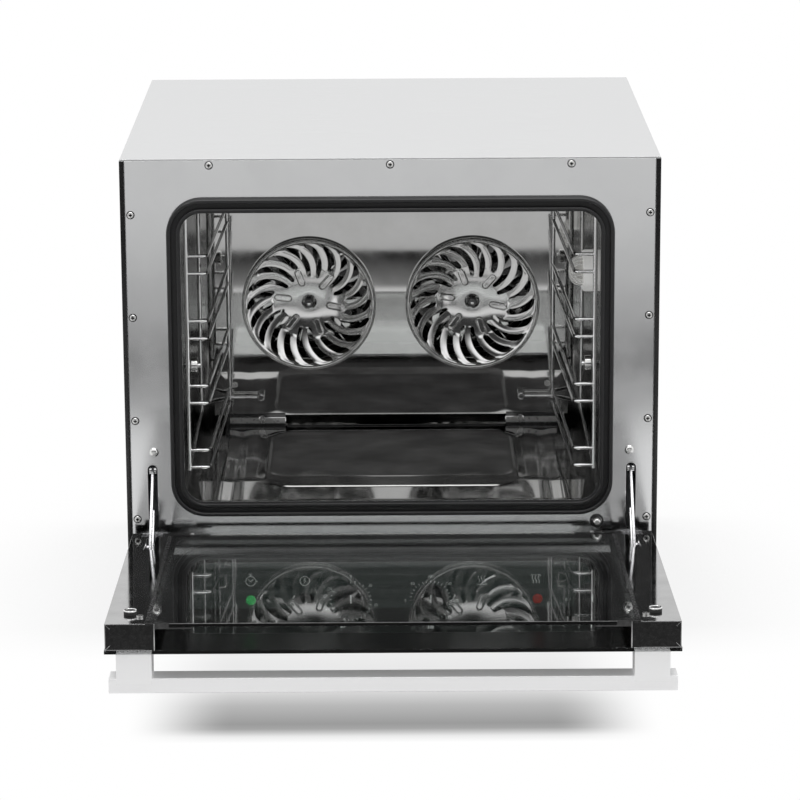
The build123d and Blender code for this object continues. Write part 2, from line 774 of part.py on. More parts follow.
# Fan guards: dished discs with swirled slots, a rolled rim and small ribs
left_side, right_side, inner_tip, outer_tip = swirl_outline()
rim_inner = guard_radius - guard_rim
rim_middle = guard_radius - guard_rim / 2
rim_corner = (guard_radius - guard_sheet, guard_sheet + guard_rim_step)
dish_middle = centre_of(guard_hub_hole, rim_inner)
dish_depth = guard_dish * guard_dish_share
with BuildSketch(Plane.XY) as swirl_slot:
    with BuildLine():
        ThreePointArc(*left_side)
        ThreePointArc(*right_side)
        ThreePointArc(left_side[0], inner_tip, right_side[0])
        ThreePointArc(left_side[-1], outer_tip, right_side[-1])
    make_face()
for name, side in sides:
    guard_plane = Plane(
        origin=(side * fan_x, front_y + guard_front, fan_height), x_dir=(1, 0, 0), z_dir=(0, -1, 0)
    )
    profile_plane = Plane(
        origin=(side * fan_x, front_y + guard_front, fan_height), x_dir=(1, 0, 0), z_dir=(0, 0, 1)
    )
    with BuildPart() as fan_guard:
        with BuildSketch(profile_plane):
            with BuildLine():
                ThreePointArc((rim_inner, 0), (dish_middle, dish_depth), (guard_hub_hole, guard_dish))
                Line((guard_hub_hole, guard_dish), (guard_hub_hole, guard_dish + guard_sheet))
                ThreePointArc(
                    (guard_hub_hole, guard_dish + guard_sheet),
                    (dish_middle, dish_depth + guard_sheet),
                    (rim_inner, guard_sheet),
                )
                ThreePointArc((rim_inner, 0), (rim_middle, -guard_rim_rise), (guard_radius, guard_sheet))
                ThreePointArc((rim_inner, guard_sheet), (rim_middle, guard_sheet - guard_rim_rise), rim_corner)
                Polyline(
                    (guard_radius, guard_sheet),
                    (guard_radius, guard_stand),
                    (guard_radius - guard_sheet, guard_stand),
                    rim_corner,
                )
            make_face()
        revolve(axis=Axis((side * fan_x, front_y, fan_height), (0, 1, 0)))
        with BuildSketch(guard_plane):
            with PolarLocations(0, guard_slots):
                add(swirl_slot.sketch)
        extrude(amount=-guard_dish - 2 * guard_sheet, mode=Mode.SUBTRACT)
        with BuildSketch(guard_plane.offset(-guard_dish)):
            with PolarLocations(guard_rib_radius, guard_ribs, start_angle=guard_first_rib):
                SlotOverall(guard_rib_length, guard_rib_width)
        extrude(amount=guard_rib_height + guard_rib_sink)
    fan_guard.part.label = f"fan_guard_{name}"
    export_step(fan_guard.part, f"parts/fan_guard_{name}.step")

# Fan wheels on their motor shafts
shaft_back = motor_front + shaft_in_motor
for name, side in sides:
    with BuildPart() as fan_wheel:
        with BuildSketch(facing(fan_disc_back)):
            with Locations((side * fan_x, fan_height)):
                Circle(fan_radius)
        extrude(amount=-fan_disc_sheet)
        with BuildSketch(facing(fan_front)):
            with Locations((side * fan_x, fan_height)):
                with PolarLocations(centre_of(fan_blade_inner, fan_radius), fan_blades):
                    Rectangle(fan_radius - fan_blade_inner, fan_blade_thickness)
        extrude(amount=fan_front - fan_disc_back)
        with BuildSketch(facing(fan_front)):
            with Locations((side * fan_x, fan_height)):
                Circle(fan_hub_radius)
        extrude(amount=fan_front - fan_disc_back)
        with BuildSketch(facing(shaft_front)):
            with Locations((side * fan_x, fan_height)):
                Circle(shaft_radius)
        extrude(amount=shaft_front - shaft_back)
        with BuildSketch(facing(shaft_front + fan_nut_height)):
            with Locations((side * fan_x, fan_height)):
                RegularPolygon(fan_nut_flat_radius, 6, major_radius=False)
        extrude(amount=fan_nut_height)
    fan_wheel.part.label = f"fan_wheel_{name}"
    export_step(fan_wheel.part, f"parts/fan_wheel_{name}.step")

# Fan motors: can, front neck with the bearing bore, and four feet bosses
for name, side in sides:
    with BuildPart() as fan_motor:
        with BuildSketch(facing(motor_front)):
            with Locations((side * fan_x, fan_height)):
                Circle(motor_radius)
        extrude(amount=-motor_length)
        fillet(fan_motor.faces().group_by(Axis.Y)[-1].edges(), motor_round)
        with BuildSketch(facing(back_plate_rear)):
            with Locations((side * fan_x, fan_height)):
                Circle(motor_neck_radius)
        extrude(amount=-motor_gap)
        with BuildSketch(facing(back_plate_rear)):
            with Locations((side * fan_x, fan_height)):
                Circle(shaft_radius + running_clearance)
        extrude(amount=back_plate_rear - shaft_back - shaft_end_gap, mode=Mode.SUBTRACT)
        with BuildSketch(facing(back_plate_rear + rear_jacket_thickness)):
            with Locations((side * fan_x, fan_height)):
                with PolarLocations(motor_radius - motor_boss_inset, 4, start_angle=45):
                    Circle(motor_boss_radius)
        extrude(amount=rear_jacket_thickness - motor_gap)
    fan_motor.part.label = f"fan_motor_{name}"
    export_step(fan_motor.part, f"parts/fan_motor_{name}.step")

# Ring heating elements round the fan wheels, with legs through the back plate
for name, side in sides:
    ring_axis = Axis((side * fan_x, front_y + element_depth, fan_height), (0, 1, 0))
    ring_start = Plane(
        origin=(
            side * fan_x + element_ring * sin(radians(element_gap_angle)),
            front_y + element_depth,
            fan_height + element_ring * cos(radians(element_gap_angle)),
        ),
        x_dir=(sin(radians(element_gap_angle)), 0, cos(radians(element_gap_angle))),
        z_dir=(cos(radians(element_gap_angle)), 0, -sin(radians(element_gap_angle))),
    )
    with BuildPart() as heating_element:
        with BuildSketch(ring_start):
            Circle(element_radius)
        revolve(axis=ring_axis, revolution_arc=360 - 2 * element_gap_angle)
        for step in (-1, 1):
            with BuildSketch(facing(element_depth)):
                with Locations((side * fan_x + step * leg_offset, leg_height)):
                    Circle(element_leg_radius)
            extrude(amount=element_depth - element_leg_end)
    heating_element.part.label = f"heating_element_{name}"
    export_step(heating_element.part, f"parts/heating_element_{name}.step")

# Tray racks of chromed rod and wire
for name, side in sides:
    with BuildPart() as tray_rack:
        for x, back, low, high in (
            (rack_rod_x, rack_front, rack_bottom, rack_top),
            (rack_rod_x, rack_back, rack_bottom, rack_top),
            (rack_inner_x, rack_inner_back, rack_inner_bottom, rack_inner_top),
        ):
            with BuildSketch(Plane.XY.offset(low)):
                with Locations((side * x, front_y + back)):
                    Circle(rack_rod_radius)
            extrude(amount=high - low)
        for level in range(rack_levels):
            for lift_up in (0.0, rack_pair_gap):
                height = rack_first_level + level * rack_pitch + lift_up
                with BuildLine() as runner:
                    FilletPolyline(
                        (side * rack_rod_x, front_y + rack_front, height),
                        (side * rack_bend_x, front_y + rack_front, height),
                        (side * rack_inner_x, front_y + rack_inner_back, height),
                        radius=rack_bend,
                    )
                with BuildSketch(Plane(origin=runner.line @ 0, z_dir=runner.line % 0)):
                    Circle(rack_wire_radius)
                sweep()
        front_post = (side * rack_rod_x, front_y + rack_front)
        rear_post = (side * rack_rod_x, front_y + rack_back)
        inner_post = (side * rack_inner_x, front_y + rack_inner_back)
        hook_end = (side * (rack_hook_x + hook_radius + hole_clearance), front_y + rack_inner_back)
        for start, end, height in (
            (front_post, rear_post, rack_bottom + rack_rod_radius),
            (front_post, rear_post, rack_top - rack_rod_radius),
            (rear_post, inner_post, rack_stub_height),
            (rear_post, inner_post, rack_inner_top - rack_rod_radius),
            (inner_post, hook_end, rack_stub_height),
        ):
            with BuildLine() as wire:
                Line((*start, height), (*end, height))
            with BuildSketch(Plane(origin=wire.line @ 0, z_dir=wire.line % 0)):
                Circle(rack_wire_radius)
            sweep()
    tray_rack.part.label = f"tray_rack_{name}"
    export_step(tray_rack.part, f"parts/tray_rack_{name}.step")

# Rack fixings: a stud on each side wall and a pin on each side of the baffle
with BuildPart() as rack_fixings:
    for side in (-1, 1):
        with BuildSketch(wall_plane(side * chamber_wall, stud_back, stud_height, -side)):
            Circle(stud_radius)
        extrude(amount=chamber_wall - rack_rod_x + thumb_nut_length + rack_rod_radius + stud_end)
        with BuildSketch(facing(baffle_front)):
            with Locations((side * rack_hook_x, rack_stub_height)):
                Circle(hook_radius)
        extrude(amount=hook_reach)
    fillet(rack_fixings.faces().filter_by(Axis.Y).group_by(Axis.Y)[0].edges(), hook_round)
rack_fixings.part.label = "rack_fixings"
export_step(rack_fixings.part, "parts/rack_fixings.step")

# Thumb nuts that clamp the racks' front rods
nut_face = rack_rod_x - rack_rod_radius - thumb_nut_gap
with BuildPart() as thumb_nuts:
    for side in (-1, 1):
        with BuildSketch(wall_plane(side * nut_face, stud_back, stud_height, -side)):
            Circle(thumb_nut_radius)
        extrude(amount=thumb_nut_length)
    fillet(thumb_nuts.edges().filter_by(GeomType.CIRCLE), thumb_nut_round)
    for side in (-1, 1):
        with BuildSketch(wall_plane(side * nut_face, stud_back, stud_height, -side)):
            Circle(stud_radius + hole_clearance)
        extrude(amount=thumb_nut_length, mode=Mode.SUBTRACT)
thumb_nuts.part.label = "thumb_nuts"
export_step(thumb_nuts.part, "parts/thumb_nuts.step")

# Oven lamp on the right wall: collar, ribbed glass, and bulb with its socket
lamp_seat = wall_plane(chamber_wall, lamp_back, lamp_height, -1)
socket_front = chamber_wall + chamber_sheet + sheet_gap
with BuildPart() as lamp_collar:
    with BuildSketch(lamp_seat):
        Circle(lamp_collar_radius)
        Circle(lamp_glass_radius + slide_clearance, mode=Mode.SUBTRACT)
    extrude(amount=lamp_collar_reach)
    fillet(lamp_collar.faces().group_by(Axis.X)[0].edges(), lamp_collar_round)
lamp_collar.part.label = "lamp_collar"
export_step(lamp_collar.part, "parts/lamp_collar.step")

glass_back = chamber_wall + chamber_sheet + sheet_gap
with BuildPart() as lamp_glass:
    with BuildSketch(wall_plane(glass_back, lamp_back, lamp_height, -1)):
        Circle(lamp_glass_radius)
    extrude(amount=lamp_glass_reach + chamber_sheet + sheet_gap)
    fillet(lamp_glass.faces().group_by(Axis.X)[0].edges(), lamp_glass_round)
    offset(amount=-lamp_glass_wall, openings=lamp_glass.faces().group_by(Axis.X)[-1])
lamp_glass.part.label = "lamp_glass"
export_step(lamp_glass.part, "parts/lamp_glass.step")

with BuildPart() as lamp_bulb:
    with BuildSketch(wall_plane(socket_front, lamp_back, lamp_height, 1)):
        Circle(lamp_socket_radius)
    extrude(amount=lamp_socket_depth)
    with BuildSketch(wall_plane(socket_front, lamp_back, lamp_height, -1)):
        Circle(lamp_bulb_radius)
    extrude(amount=lamp_glass_reach - lamp_bulb_gap)
    fillet(lamp_bulb.faces().group_by(Axis.X)[0].edges(), lamp_bulb_radius * 0.95)
lamp_bulb.part.label = "lamp_bulb"
export_step(lamp_bulb.part, "parts/lamp_bulb.step")

# Hinge housings behind the front frame, open at the slot
with BuildPart() as hinge_housings:
    for side in (-1, 1):
        with BuildSketch(facing(frame_sheet)):
            with Locations((side * hinge_x, centre_of(housing_bottom, housing_top))):
                Rectangle(2 * housing_half_width, housing_top - housing_bottom)
        extrude(amount=-housing_depth)
        with BuildSketch(facing(frame_sheet + housing_sheet)):
            with Locations((side * hinge_x, centre_of(housing_bottom, housing_top))):
                Rectangle(
                    2 * (housing_half_width - housing_sheet), housing_top - housing_bottom - 2 * housing_sheet
                )
        extrude(amount=2 * housing_sheet - housing_depth, mode=Mode.SUBTRACT)
        with BuildSketch(facing(frame_sheet)):
            with Locations((side * hinge_x, centre_of(hinge_slot_bottom, hinge_slot_top))):
                Rectangle(
                    hinge_slot_width + 2 * housing_slot_gap,
                    hinge_slot_top - hinge_slot_bottom + 4 * housing_slot_gap,
                )
            with Locations((side * dome_screw_x, dome_screw_height)):
                Circle(screw_shank_radius + hole_clearance)
        extrude(amount=-housing_sheet, mode=Mode.SUBTRACT)
hinge_housings.part.label = "hinge_housings"
export_step(hinge_housings.part, "parts/hinge_housings.step")

# Hinge brackets on the frame's face: a plate with two ears that carry the door's pivot pin
with BuildPart() as hinge_brackets:
    for side in (-1, 1):
        with BuildSketch(facing(0)):
            with Locations((side * hinge_x, centre_of(bracket_plate_bottom, bracket_plate_top))):
                Rectangle(bracket_plate_width, bracket_plate_top - bracket_plate_bottom)
        extrude(amount=bracket_plate)
        for ear_start in (-ear_inner - ear_thickness, ear_inner):
            with BuildSketch(wall_plane(side * hinge_x + ear_start, -pivot_out, pivot_height, 1)):
                Circle(ear_radius)
                with Locations((pivot_out / 2, 0)):
                    Rectangle(pivot_out, 2 * ear_radius)
                Circle(pivot_pin_radius + running_clearance, mode=Mode.SUBTRACT)
            extrude(amount=ear_thickness)
hinge_brackets.part.label = "hinge_brackets"
export_step(hinge_brackets.part, "parts/hinge_brackets.step")

# Stay arms: folded links with a rod inside, from the door into the housings, and a roller at the far end
arm_angle = radians(arm_open_angle)
arm_root = door_plane.from_local_coords((0, -arm_along, arm_rise))
arm_tip = (arm_root.Y + arm_length * cos(arm_angle), arm_root.Z + arm_length * sin(arm_angle))
trough_start = arm_eye_radius + arm_trough_gap
trough_end = arm_length - arm_end_radius - arm_trough_gap
for name, side in sides:
    arm_plane = Plane(
        origin=(side * hinge_x - arm_thickness / 2, arm_root.Y, arm_root.Z),
        x_dir=(0, cos(arm_angle), sin(arm_angle)),
        z_dir=(1, 0, 0),
    )
    rod_start = arm_plane.from_local_coords((trough_start, arm_rod_rise, arm_thickness / 2))
    rod_plane = Plane(
        origin=(rod_start.X, rod_start.Y, rod_start.Z),
        x_dir=(1, 0, 0),
        z_dir=(0, cos(arm_angle), sin(arm_angle)),
    )
    roller_plane = Plane(
        origin=(side * hinge_x - roller_width / 2, arm_tip[0], arm_tip[1]),
        x_dir=(0, 1, 0),
        z_dir=(1, 0, 0),
    )
    with BuildPart() as hinge_arm:
        with BuildSketch(arm_plane):
            with BuildLine():
                Polyline(
                    (0, -arm_eye_radius),
                    (arm_length, -arm_end_radius),
                    (arm_length, arm_end_radius),
                    (0, arm_eye_radius),
                    (0, -arm_eye_radius),
                )
            make_face()
            Circle(arm_eye_radius)
            with Locations((arm_length, 0)):
                Circle(arm_end_radius)
            Circle(arm_pin_radius + running_clearance, mode=Mode.SUBTRACT)
        extrude(amount=arm_thickness)
        with BuildSketch(arm_plane.offset(arm_wall)):
            with Locations((centre_of(trough_start, trough_end), centre_of(arm_trough_floor, arm_eye_radius))):
                Rectangle(trough_end - trough_start, arm_eye_radius - arm_trough_floor)
        extrude(amount=arm_thickness - 2 * arm_wall, mode=Mode.SUBTRACT)
        with BuildSketch(rod_plane):
            Circle(arm_rod_radius)
        extrude(amount=trough_end - trough_start)
        with BuildSketch(roller_plane):
            Circle(roller_radius)
        extrude(amount=roller_width)
    hinge_arm.part.label = f"hinge_arm_{name}"
    export_step(hinge_arm.part, f"parts/hinge_arm_{name}.step")

# Door channels: folded stainless box sections, open at the hinge end
for name, side in sides:
    channel_middle = side * centre_of(channel_inner, channel_outer)
    with BuildPart() as door_channel:
        with BuildSketch(door_plane.offset(channel_bottom)):
            with Locations((channel_middle, centre_of(-free_end, hinge_overhang))):
                Rectangle(channel_width, door_length)
        extrude(amount=door_inner_face - channel_bottom)
        with BuildSketch(door_plane.offset(door_inner_face - inner_glass - channel_sheet)):
            with Locations(
                (side * (channel_inner - ledge_width / 2), centre_of(glass_free_edge, glass_hinge_edge))
            ):
                Rectangle(ledge_width, glass_hinge_edge - glass_free_edge)
        extrude(amount=channel_sheet)
        with BuildSketch(door_plane.offset(channel_bottom + channel_sheet)):
            with Locations((channel_middle, centre_of(channel_sheet - free_end, hinge_overhang))):
                Rectangle(channel_width - 2 * channel_sheet, door_length - channel_sheet)
        extrude(amount=door_inner_face - channel_bottom - 2 * channel_sheet, mode=Mode.SUBTRACT)
        with BuildSketch(door_plane.offset(door_inner_face - channel_sheet)):
            with Locations((side * hinge_x, centre_of(-pocket_end, hinge_overhang))):
                Rectangle(2 * pocket_half_width, hinge_overhang + pocket_end)
            with Locations((side * hinge_x, centre_of(-arm_slot_end, hinge_overhang))):
                Rectangle(2 * arm_slot_half_width, hinge_overhang + arm_slot_end)
        extrude(amount=channel_sheet, mode=Mode.SUBTRACT)
        with BuildSketch(door_side_plane(side * hinge_x, 0, 0)):
            Circle(pivot_pin_radius + pin_fit)
        extrude(amount=channel_width, both=True, mode=Mode.SUBTRACT)
        with BuildSketch(door_side_plane(side * hinge_x, arm_along, arm_rise)):
            Circle(arm_pin_radius + pin_fit)
        extrude(amount=channel_width, both=True, mode=Mode.SUBTRACT)
    door_channel.part.label = f"door_channel_{name}"
    export_step(door_channel.part, f"parts/door_channel_{name}.step")

# Pins in the door: two that it turns on and two that carry the stay arms
pin_length = channel_width - 2 * pin_end_gap
with BuildPart() as hinge_pins:
    for side in (-1, 1):
        pin_start = side * centre_of(channel_inner, channel_outer) - pin_length / 2
        with BuildSketch(door_side_plane(pin_start, 0, 0)):
            Circle(pivot_pin_radius)
        extrude(amount=pin_length)
        with BuildSketch(door_side_plane(pin_start, arm_along, arm_rise)):
            Circle(arm_pin_radius)
        extrude(amount=pin_length)
hinge_pins.part.label = "hinge_pins"
export_step(hinge_pins.part, "parts/hinge_pins.step")

# Outer glass over the whole door
with BuildPart() as door_outer_glass:
    with BuildSketch(door_plane.offset(door_outer_face)):
        with Locations((0, centre_of(-free_end, hinge_overhang))):
            Rectangle(door_width, door_length)
    extrude(amount=outer_glass)
    chamfer(door_outer_glass.edges().filter_by(Axis(door_plane.origin, door_plane.z_dir)), glass_corner)
door_outer_glass.part.label = "door_outer_glass"
export_step(door_outer_glass.part, "parts/door_outer_glass.step")

# Inner glass between the channels, on their ledges
with BuildPart() as door_inner_glass:
    with BuildSketch(door_plane.offset(door_inner_face - inner_glass)):
        with Locations((0, centre_of(glass_free_edge, glass_hinge_edge))):
            Rectangle(inner_glass_width, glass_hinge_edge - glass_free_edge)
    extrude(amount=inner_glass)
door_inner_glass.part.label = "door_inner_glass"
export_step(door_inner_glass.part, "parts/door_inner_glass.step")

# Clips that fold over the inner glass at its ends, each with a leaf beside it
clip_middle = channel_inner - clip_width / 2
leaf_outer = channel_inner - ledge_width
leaf_inner = channel_inner - clip_width - leaf_width
leaf_middle = centre_of(leaf_inner, leaf_outer)
with BuildPart() as glass_clips:
    for side in (-1, 1):
        for edge, outward in ((glass_free_edge, -1), (glass_hinge_edge, 1)):
            with BuildSketch(door_plane.offset(door_inner_face)):
                with Locations((side * clip_middle, edge + outward * (clip_sheet - clip_depth) / 2)):
                    Rectangle(clip_width, clip_depth + clip_sheet)
            extrude(amount=clip_sheet)
            with BuildSketch(door_plane.offset(door_inner_face - inner_glass - clip_sheet)):
                with Locations((side * clip_middle, edge + outward * clip_sheet / 2)):
                    Rectangle(clip_width, clip_sheet)
            extrude(amount=inner_glass + 2 * clip_sheet)
            with BuildSketch(door_plane.offset(door_inner_face - inner_glass - leaf_sheet)):
                with Locations((side * leaf_middle, edge + outward * (clip_sheet - leaf_depth) / 2)):
                    Rectangle(leaf_outer - leaf_inner, leaf_depth + clip_sheet)
            extrude(amount=leaf_sheet)
glass_clips.part.label = "glass_clips"
export_step(glass_clips.part, "parts/glass_clips.step")

# Rubber-ringed plugs and cap screws near the door's free end
with BuildPart() as door_bumpers:
    with BuildSketch(door_plane.offset(door_inner_face)):
        with Locations((bumper_x, -bumper_along), (-bumper_x, -bumper_along)):
            Circle(bumper_radius)
    extrude(amount=bumper_height)
door_bumpers.part.label = "door_bumpers"
export_step(door_bumpers.part, "parts/door_bumpers.step")

with BuildPart() as cap_screws:
    with BuildSketch(door_plane.offset(door_inner_face)):
        with Locations((cap_screw_x, -cap_screw_along), (-cap_screw_x, -cap_screw_along)):
            Circle(screw_head_radius)
    extrude(amount=screw_head_height)
cap_screws.part.label = "cap_screws"
export_step(cap_screws.part, "parts/cap_screws.step")

# Handle: a flat bar on two square brackets
bar_end = -free_end + bar_setback
with BuildPart() as handle_bar:
    with BuildSketch(door_plane.offset(bar_top - bar_thickness)):
        with Locations((0, bar_end + bar_width / 2)):
            Rectangle(bar_length, bar_width)
    extrude(amount=bar_thickness)
    fillet(handle_bar.edges().filter_by(Axis.X), bar_edge_round)
handle_bar.part.label = "handle_bar"
export_step(handle_bar.part, "parts/handle_bar.step")

with BuildPart() as handle_brackets:
    for side in (-1, 1):
        bracket_x = side * (grip_bracket_inner + grip_bracket_width / 2)
        with BuildSketch(door_plane.offset(bar_top)):
            with Locations((bracket_x, centre_of(bar_end - grip_bracket_lap_sheet, bar_end + bar_width))):
                Rectangle(grip_bracket_width, bar_width + grip_bracket_lap_sheet)
        extrude(amount=handle_standoff)
        with BuildSketch(door_plane.offset(bar_top - grip_bracket_lap)):
            with Locations((bracket_x, bar_end - grip_bracket_lap_sheet / 2)):
                Rectangle(grip_bracket_width, grip_bracket_lap_sheet)
        extrude(amount=grip_bracket_lap)
handle_brackets.part.label = "handle_brackets"
export_step(handle_brackets.part, "parts/handle_brackets.step")

# Control panel with holes for the shafts, the button and the pilot lamps
with BuildPart() as control_panel:
    with BuildSketch(facing(0)):
        with Locations((0, centre_of(foot_height, panel_top))):
            Rectangle(2 * frame_half_width - 2 * sheet_gap, panel_top - foot_height)
        with Locations(*[(x, control_height) for x in knob_places.values()]):
            Circle(control_neck_radius + hole_clearance, mode=Mode.SUBTRACT)
        with Locations((button_x, control_height)):
            Circle(button_radius + slide_clearance, mode=Mode.SUBTRACT)
        with Locations(*[(x, pilot_height) for x in pilot_places.values()]):
            Circle(pilot_radius + hole_clearance, mode=Mode.SUBTRACT)
    extrude(amount=-panel_sheet)
control_panel.part.label = "control_panel"
export_step(control_panel.part, "parts/control_panel.step")

# Knobs with their shafts
for name, x in knob_places.items():
    with BuildPart() as knob:
        with BuildSketch(facing(-knob_gap)):
            with Locations((x, control_height)):
                Circle(knob_skirt_radius)
        extrude(amount=knob_skirt)
        with BuildSketch(facing(-knob_gap - knob_skirt)):
            with Locations((x, control_height)):
                Circle(knob_radius)
        extrude(amount=knob_length - knob_skirt, taper=knob_taper)
        fillet(knob.faces().group_by(Axis.Y)[0].edges(), knob_edge)
        with BuildSketch(facing(-knob_gap - knob_length)):
            with Locations((x, control_height + knob_radius / 2)):
                Rectangle(knob_mark_width, knob_radius)
        extrude(amount=-knob_mark_depth, mode=Mode.SUBTRACT)
        with BuildSketch(facing(-knob_gap)):
            with Locations((x, control_height)):
                Circle(knob_shaft_radius)
        extrude(amount=-knob_shaft_end - knob_gap)
    knob.part.label = name
    export_step(knob.part, f"parts/{name}.step")

# Timer, thermostat and selector bodies behind the panel
with BuildPart() as control_units:
    with BuildSketch(facing(panel_sheet)):
        with Locations(*[(x, control_height) for x in knob_places.values()]):
            Rectangle(control_unit_size, control_unit_size)
    extrude(amount=-control_unit_depth)
    with BuildSketch(facing(panel_sheet)):
        with Locations(*[(x, control_height) for x in knob_places.values()]):
            Circle(control_neck_radius)
    extrude(amount=panel_sheet - control_neck_gap)
    with BuildSketch(facing(0)):
        with Locations(*[(x, control_height) for x in knob_places.values()]):
            Circle(knob_shaft_radius + running_clearance)
    extrude(amount=-knob_shaft_end - control_shaft_gap, mode=Mode.SUBTRACT)
control_units.part.label = "control_units"
export_step(control_units.part, "parts/control_units.step")

# Push button and its switch, with a bezel on the panel's face
with BuildPart() as push_button:
    with BuildSketch(facing(-button_reach)):
        with Locations((button_x, control_height)):
            Circle(button_radius)
    extrude(amount=-button_reach - button_depth)
    fillet(push_button.faces().group_by(Axis.Y)[0].edges(), button_round)
push_button.part.label = "push_button"
export_step(push_button.part, "parts/push_button.step")

with BuildPart() as button_switch:
    with BuildSketch(facing(panel_sheet)):
        with Locations((button_x, control_height)):
            Rectangle(button_unit_size, button_unit_size)
    extrude(amount=-button_unit_depth)
    with BuildSketch(facing(panel_sheet)):
        with Locations((button_x, control_height)):
            Circle(button_radius + slide_clearance)
    extrude(amount=panel_sheet - button_depth - button_travel - switch_end_gap, mode=Mode.SUBTRACT)
    with BuildSketch(facing(0)):
        with Locations((button_x, control_height)):
            Circle(button_bezel_radius)
            Circle(button_radius + slide_clearance, mode=Mode.SUBTRACT)
    extrude(amount=button_bezel_height)
button_switch.part.label = "button_switch"
export_step(button_switch.part, "parts/button_switch.step")

# Pilot lamps
for name, x in pilot_places.items():
    with BuildPart() as pilot_lamp:
        with BuildSketch(facing(-pilot_reach)):
            with Locations((x, pilot_height)):
                Circle(pilot_radius)
        extrude(amount=-pilot_reach - pilot_depth)
        fillet(pilot_lamp.faces().group_by(Axis.Y)[0].edges(), pilot_round)
    pilot_lamp.part.label = name
    export_step(pilot_lamp.part, f"parts/{name}.step")

# Door switch: a plunger through the frame and its housing behind
with BuildPart() as door_switch_plunger:
    with BuildSketch(facing(-plunger_reach)):
        with Locations((switch_x, switch_height)):
            Circle(plunger_radius)
    extrude(amount=-plunger_reach - plunger_depth)
    fillet(door_switch_plunger.faces().group_by(Axis.Y)[0].edges(), plunger_round)
door_switch_plunger.part.label = "door_switch_plunger"
export_step(door_switch_plunger.part, "parts/door_switch_plunger.step")

with BuildPart() as door_switch_body:
    with BuildSketch(facing(frame_sheet)):
        with Locations((switch_x, switch_height)):
            Rectangle(switch_unit_width, switch_unit_height)
    extrude(amount=-switch_unit_depth)
    with BuildSketch(facing(frame_sheet)):
        with Locations((switch_x, switch_height)):
            Circle(plunger_radius + slide_clearance)
    extrude(amount=frame_sheet - plunger_depth - plunger_travel - switch_end_gap, mode=Mode.SUBTRACT)
    with BuildSketch(facing(0)):
        with Locations((switch_x, switch_height)):
            Circle(switch_bezel_radius)
            Circle(plunger_radius + slide_clearance, mode=Mode.SUBTRACT)
    extrude(amount=switch_bezel_height)
door_switch_body.part.label = "door_switch_body"
export_step(door_switch_body.part, "parts/door_switch_body.step")

# Steam vent pipe from the chamber out of the back
with BuildPart() as vent_pipe:
    with BuildSketch(facing(back_plate_rear)):
        with Locations((0, vent_height)):
            Circle(vent_radius)
            Circle(vent_bore, mode=Mode.SUBTRACT)
    extrude(amount=back_plate_rear - rear_reach)
vent_pipe.part.label = "vent_pipe"
export_step(vent_pipe.part, "parts/vent_pipe.step")

# Cable gland in the rear panel
with BuildPart() as cable_gland:
    with BuildSketch(facing(body_depth - sheet_gap)):
        with Locations((gland_x, gland_height)):
            RegularPolygon(gland_radius, 6)
    extrude(amount=-gland_reach / 2)
    with BuildSketch(facing(body_depth - sheet_gap + gland_reach / 2)):
        with Locations((gland_x, gland_height)):
            Circle(gland_radius * gland_cap_share)
    extrude(amount=-gland_reach / 2, taper=gland_cap_taper)
    with BuildSketch(facing(rear_panel_front - gland_neck_inner)):
        with Locations((gland_x, gland_height)):
            Circle(gland_neck)
    extrude(amount=-rear_sheet - gland_neck_inner)
    with BuildSketch(facing(rear_panel_front - gland_neck_inner)):
        with Locations((gland_x, gland_height)):
            Circle(gland_bore)
    extrude(amount=-gland_reach - gland_bore_end, mode=Mode.SUBTRACT)
cable_gland.part.label = "cable_gland"
export_step(cable_gland.part, "parts/cable_gland.step")

# Terminal block on the base pan, in front of the gland
with BuildPart() as terminal_block:
    with BuildSketch(Plane.XY.offset(base_top)):
        with Locations((gland_x, front_y + rear_panel_front - terminal_gap - terminal_size[1] / 2)):
            Rectangle(terminal_size[0], terminal_size[1])
    extrude(amount=terminal_size[2])
    with BuildSketch(Plane.XY.offset(base_top + terminal_size[2])):
        with Locations((gland_x, front_y + rear_panel_front - terminal_gap - terminal_size[1] / 2)):
            with GridLocations(terminal_size[0] / terminal_poles, 0, terminal_poles, 1):
                Circle(terminal_hole_radius)
    extrude(amount=-terminal_hole_depth, mode=Mode.SUBTRACT)
terminal_block.part.label = "terminal_block"
export_step(terminal_block.part, "parts/terminal_block.step")

print("front face at y =", round(front_y, 3))
print("door pivot", round(front_y - pivot_out, 3), pivot_height)
print("stay arm pivot", round(arm_root.Y, 3), round(arm_root.Z, 3))
print("stay arm tip", round(arm_tip[0], 3), round(arm_tip[1], 3))
print("door travel", door_travel, "stay arm turn on the door", door_travel - arm_turn)
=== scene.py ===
"""Looks of the countertop convection oven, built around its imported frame."""

import json
from math import atan2, cos, exp, pi, radians, sin, sqrt

import bmesh
import bpy
from mathutils import Matrix, Vector


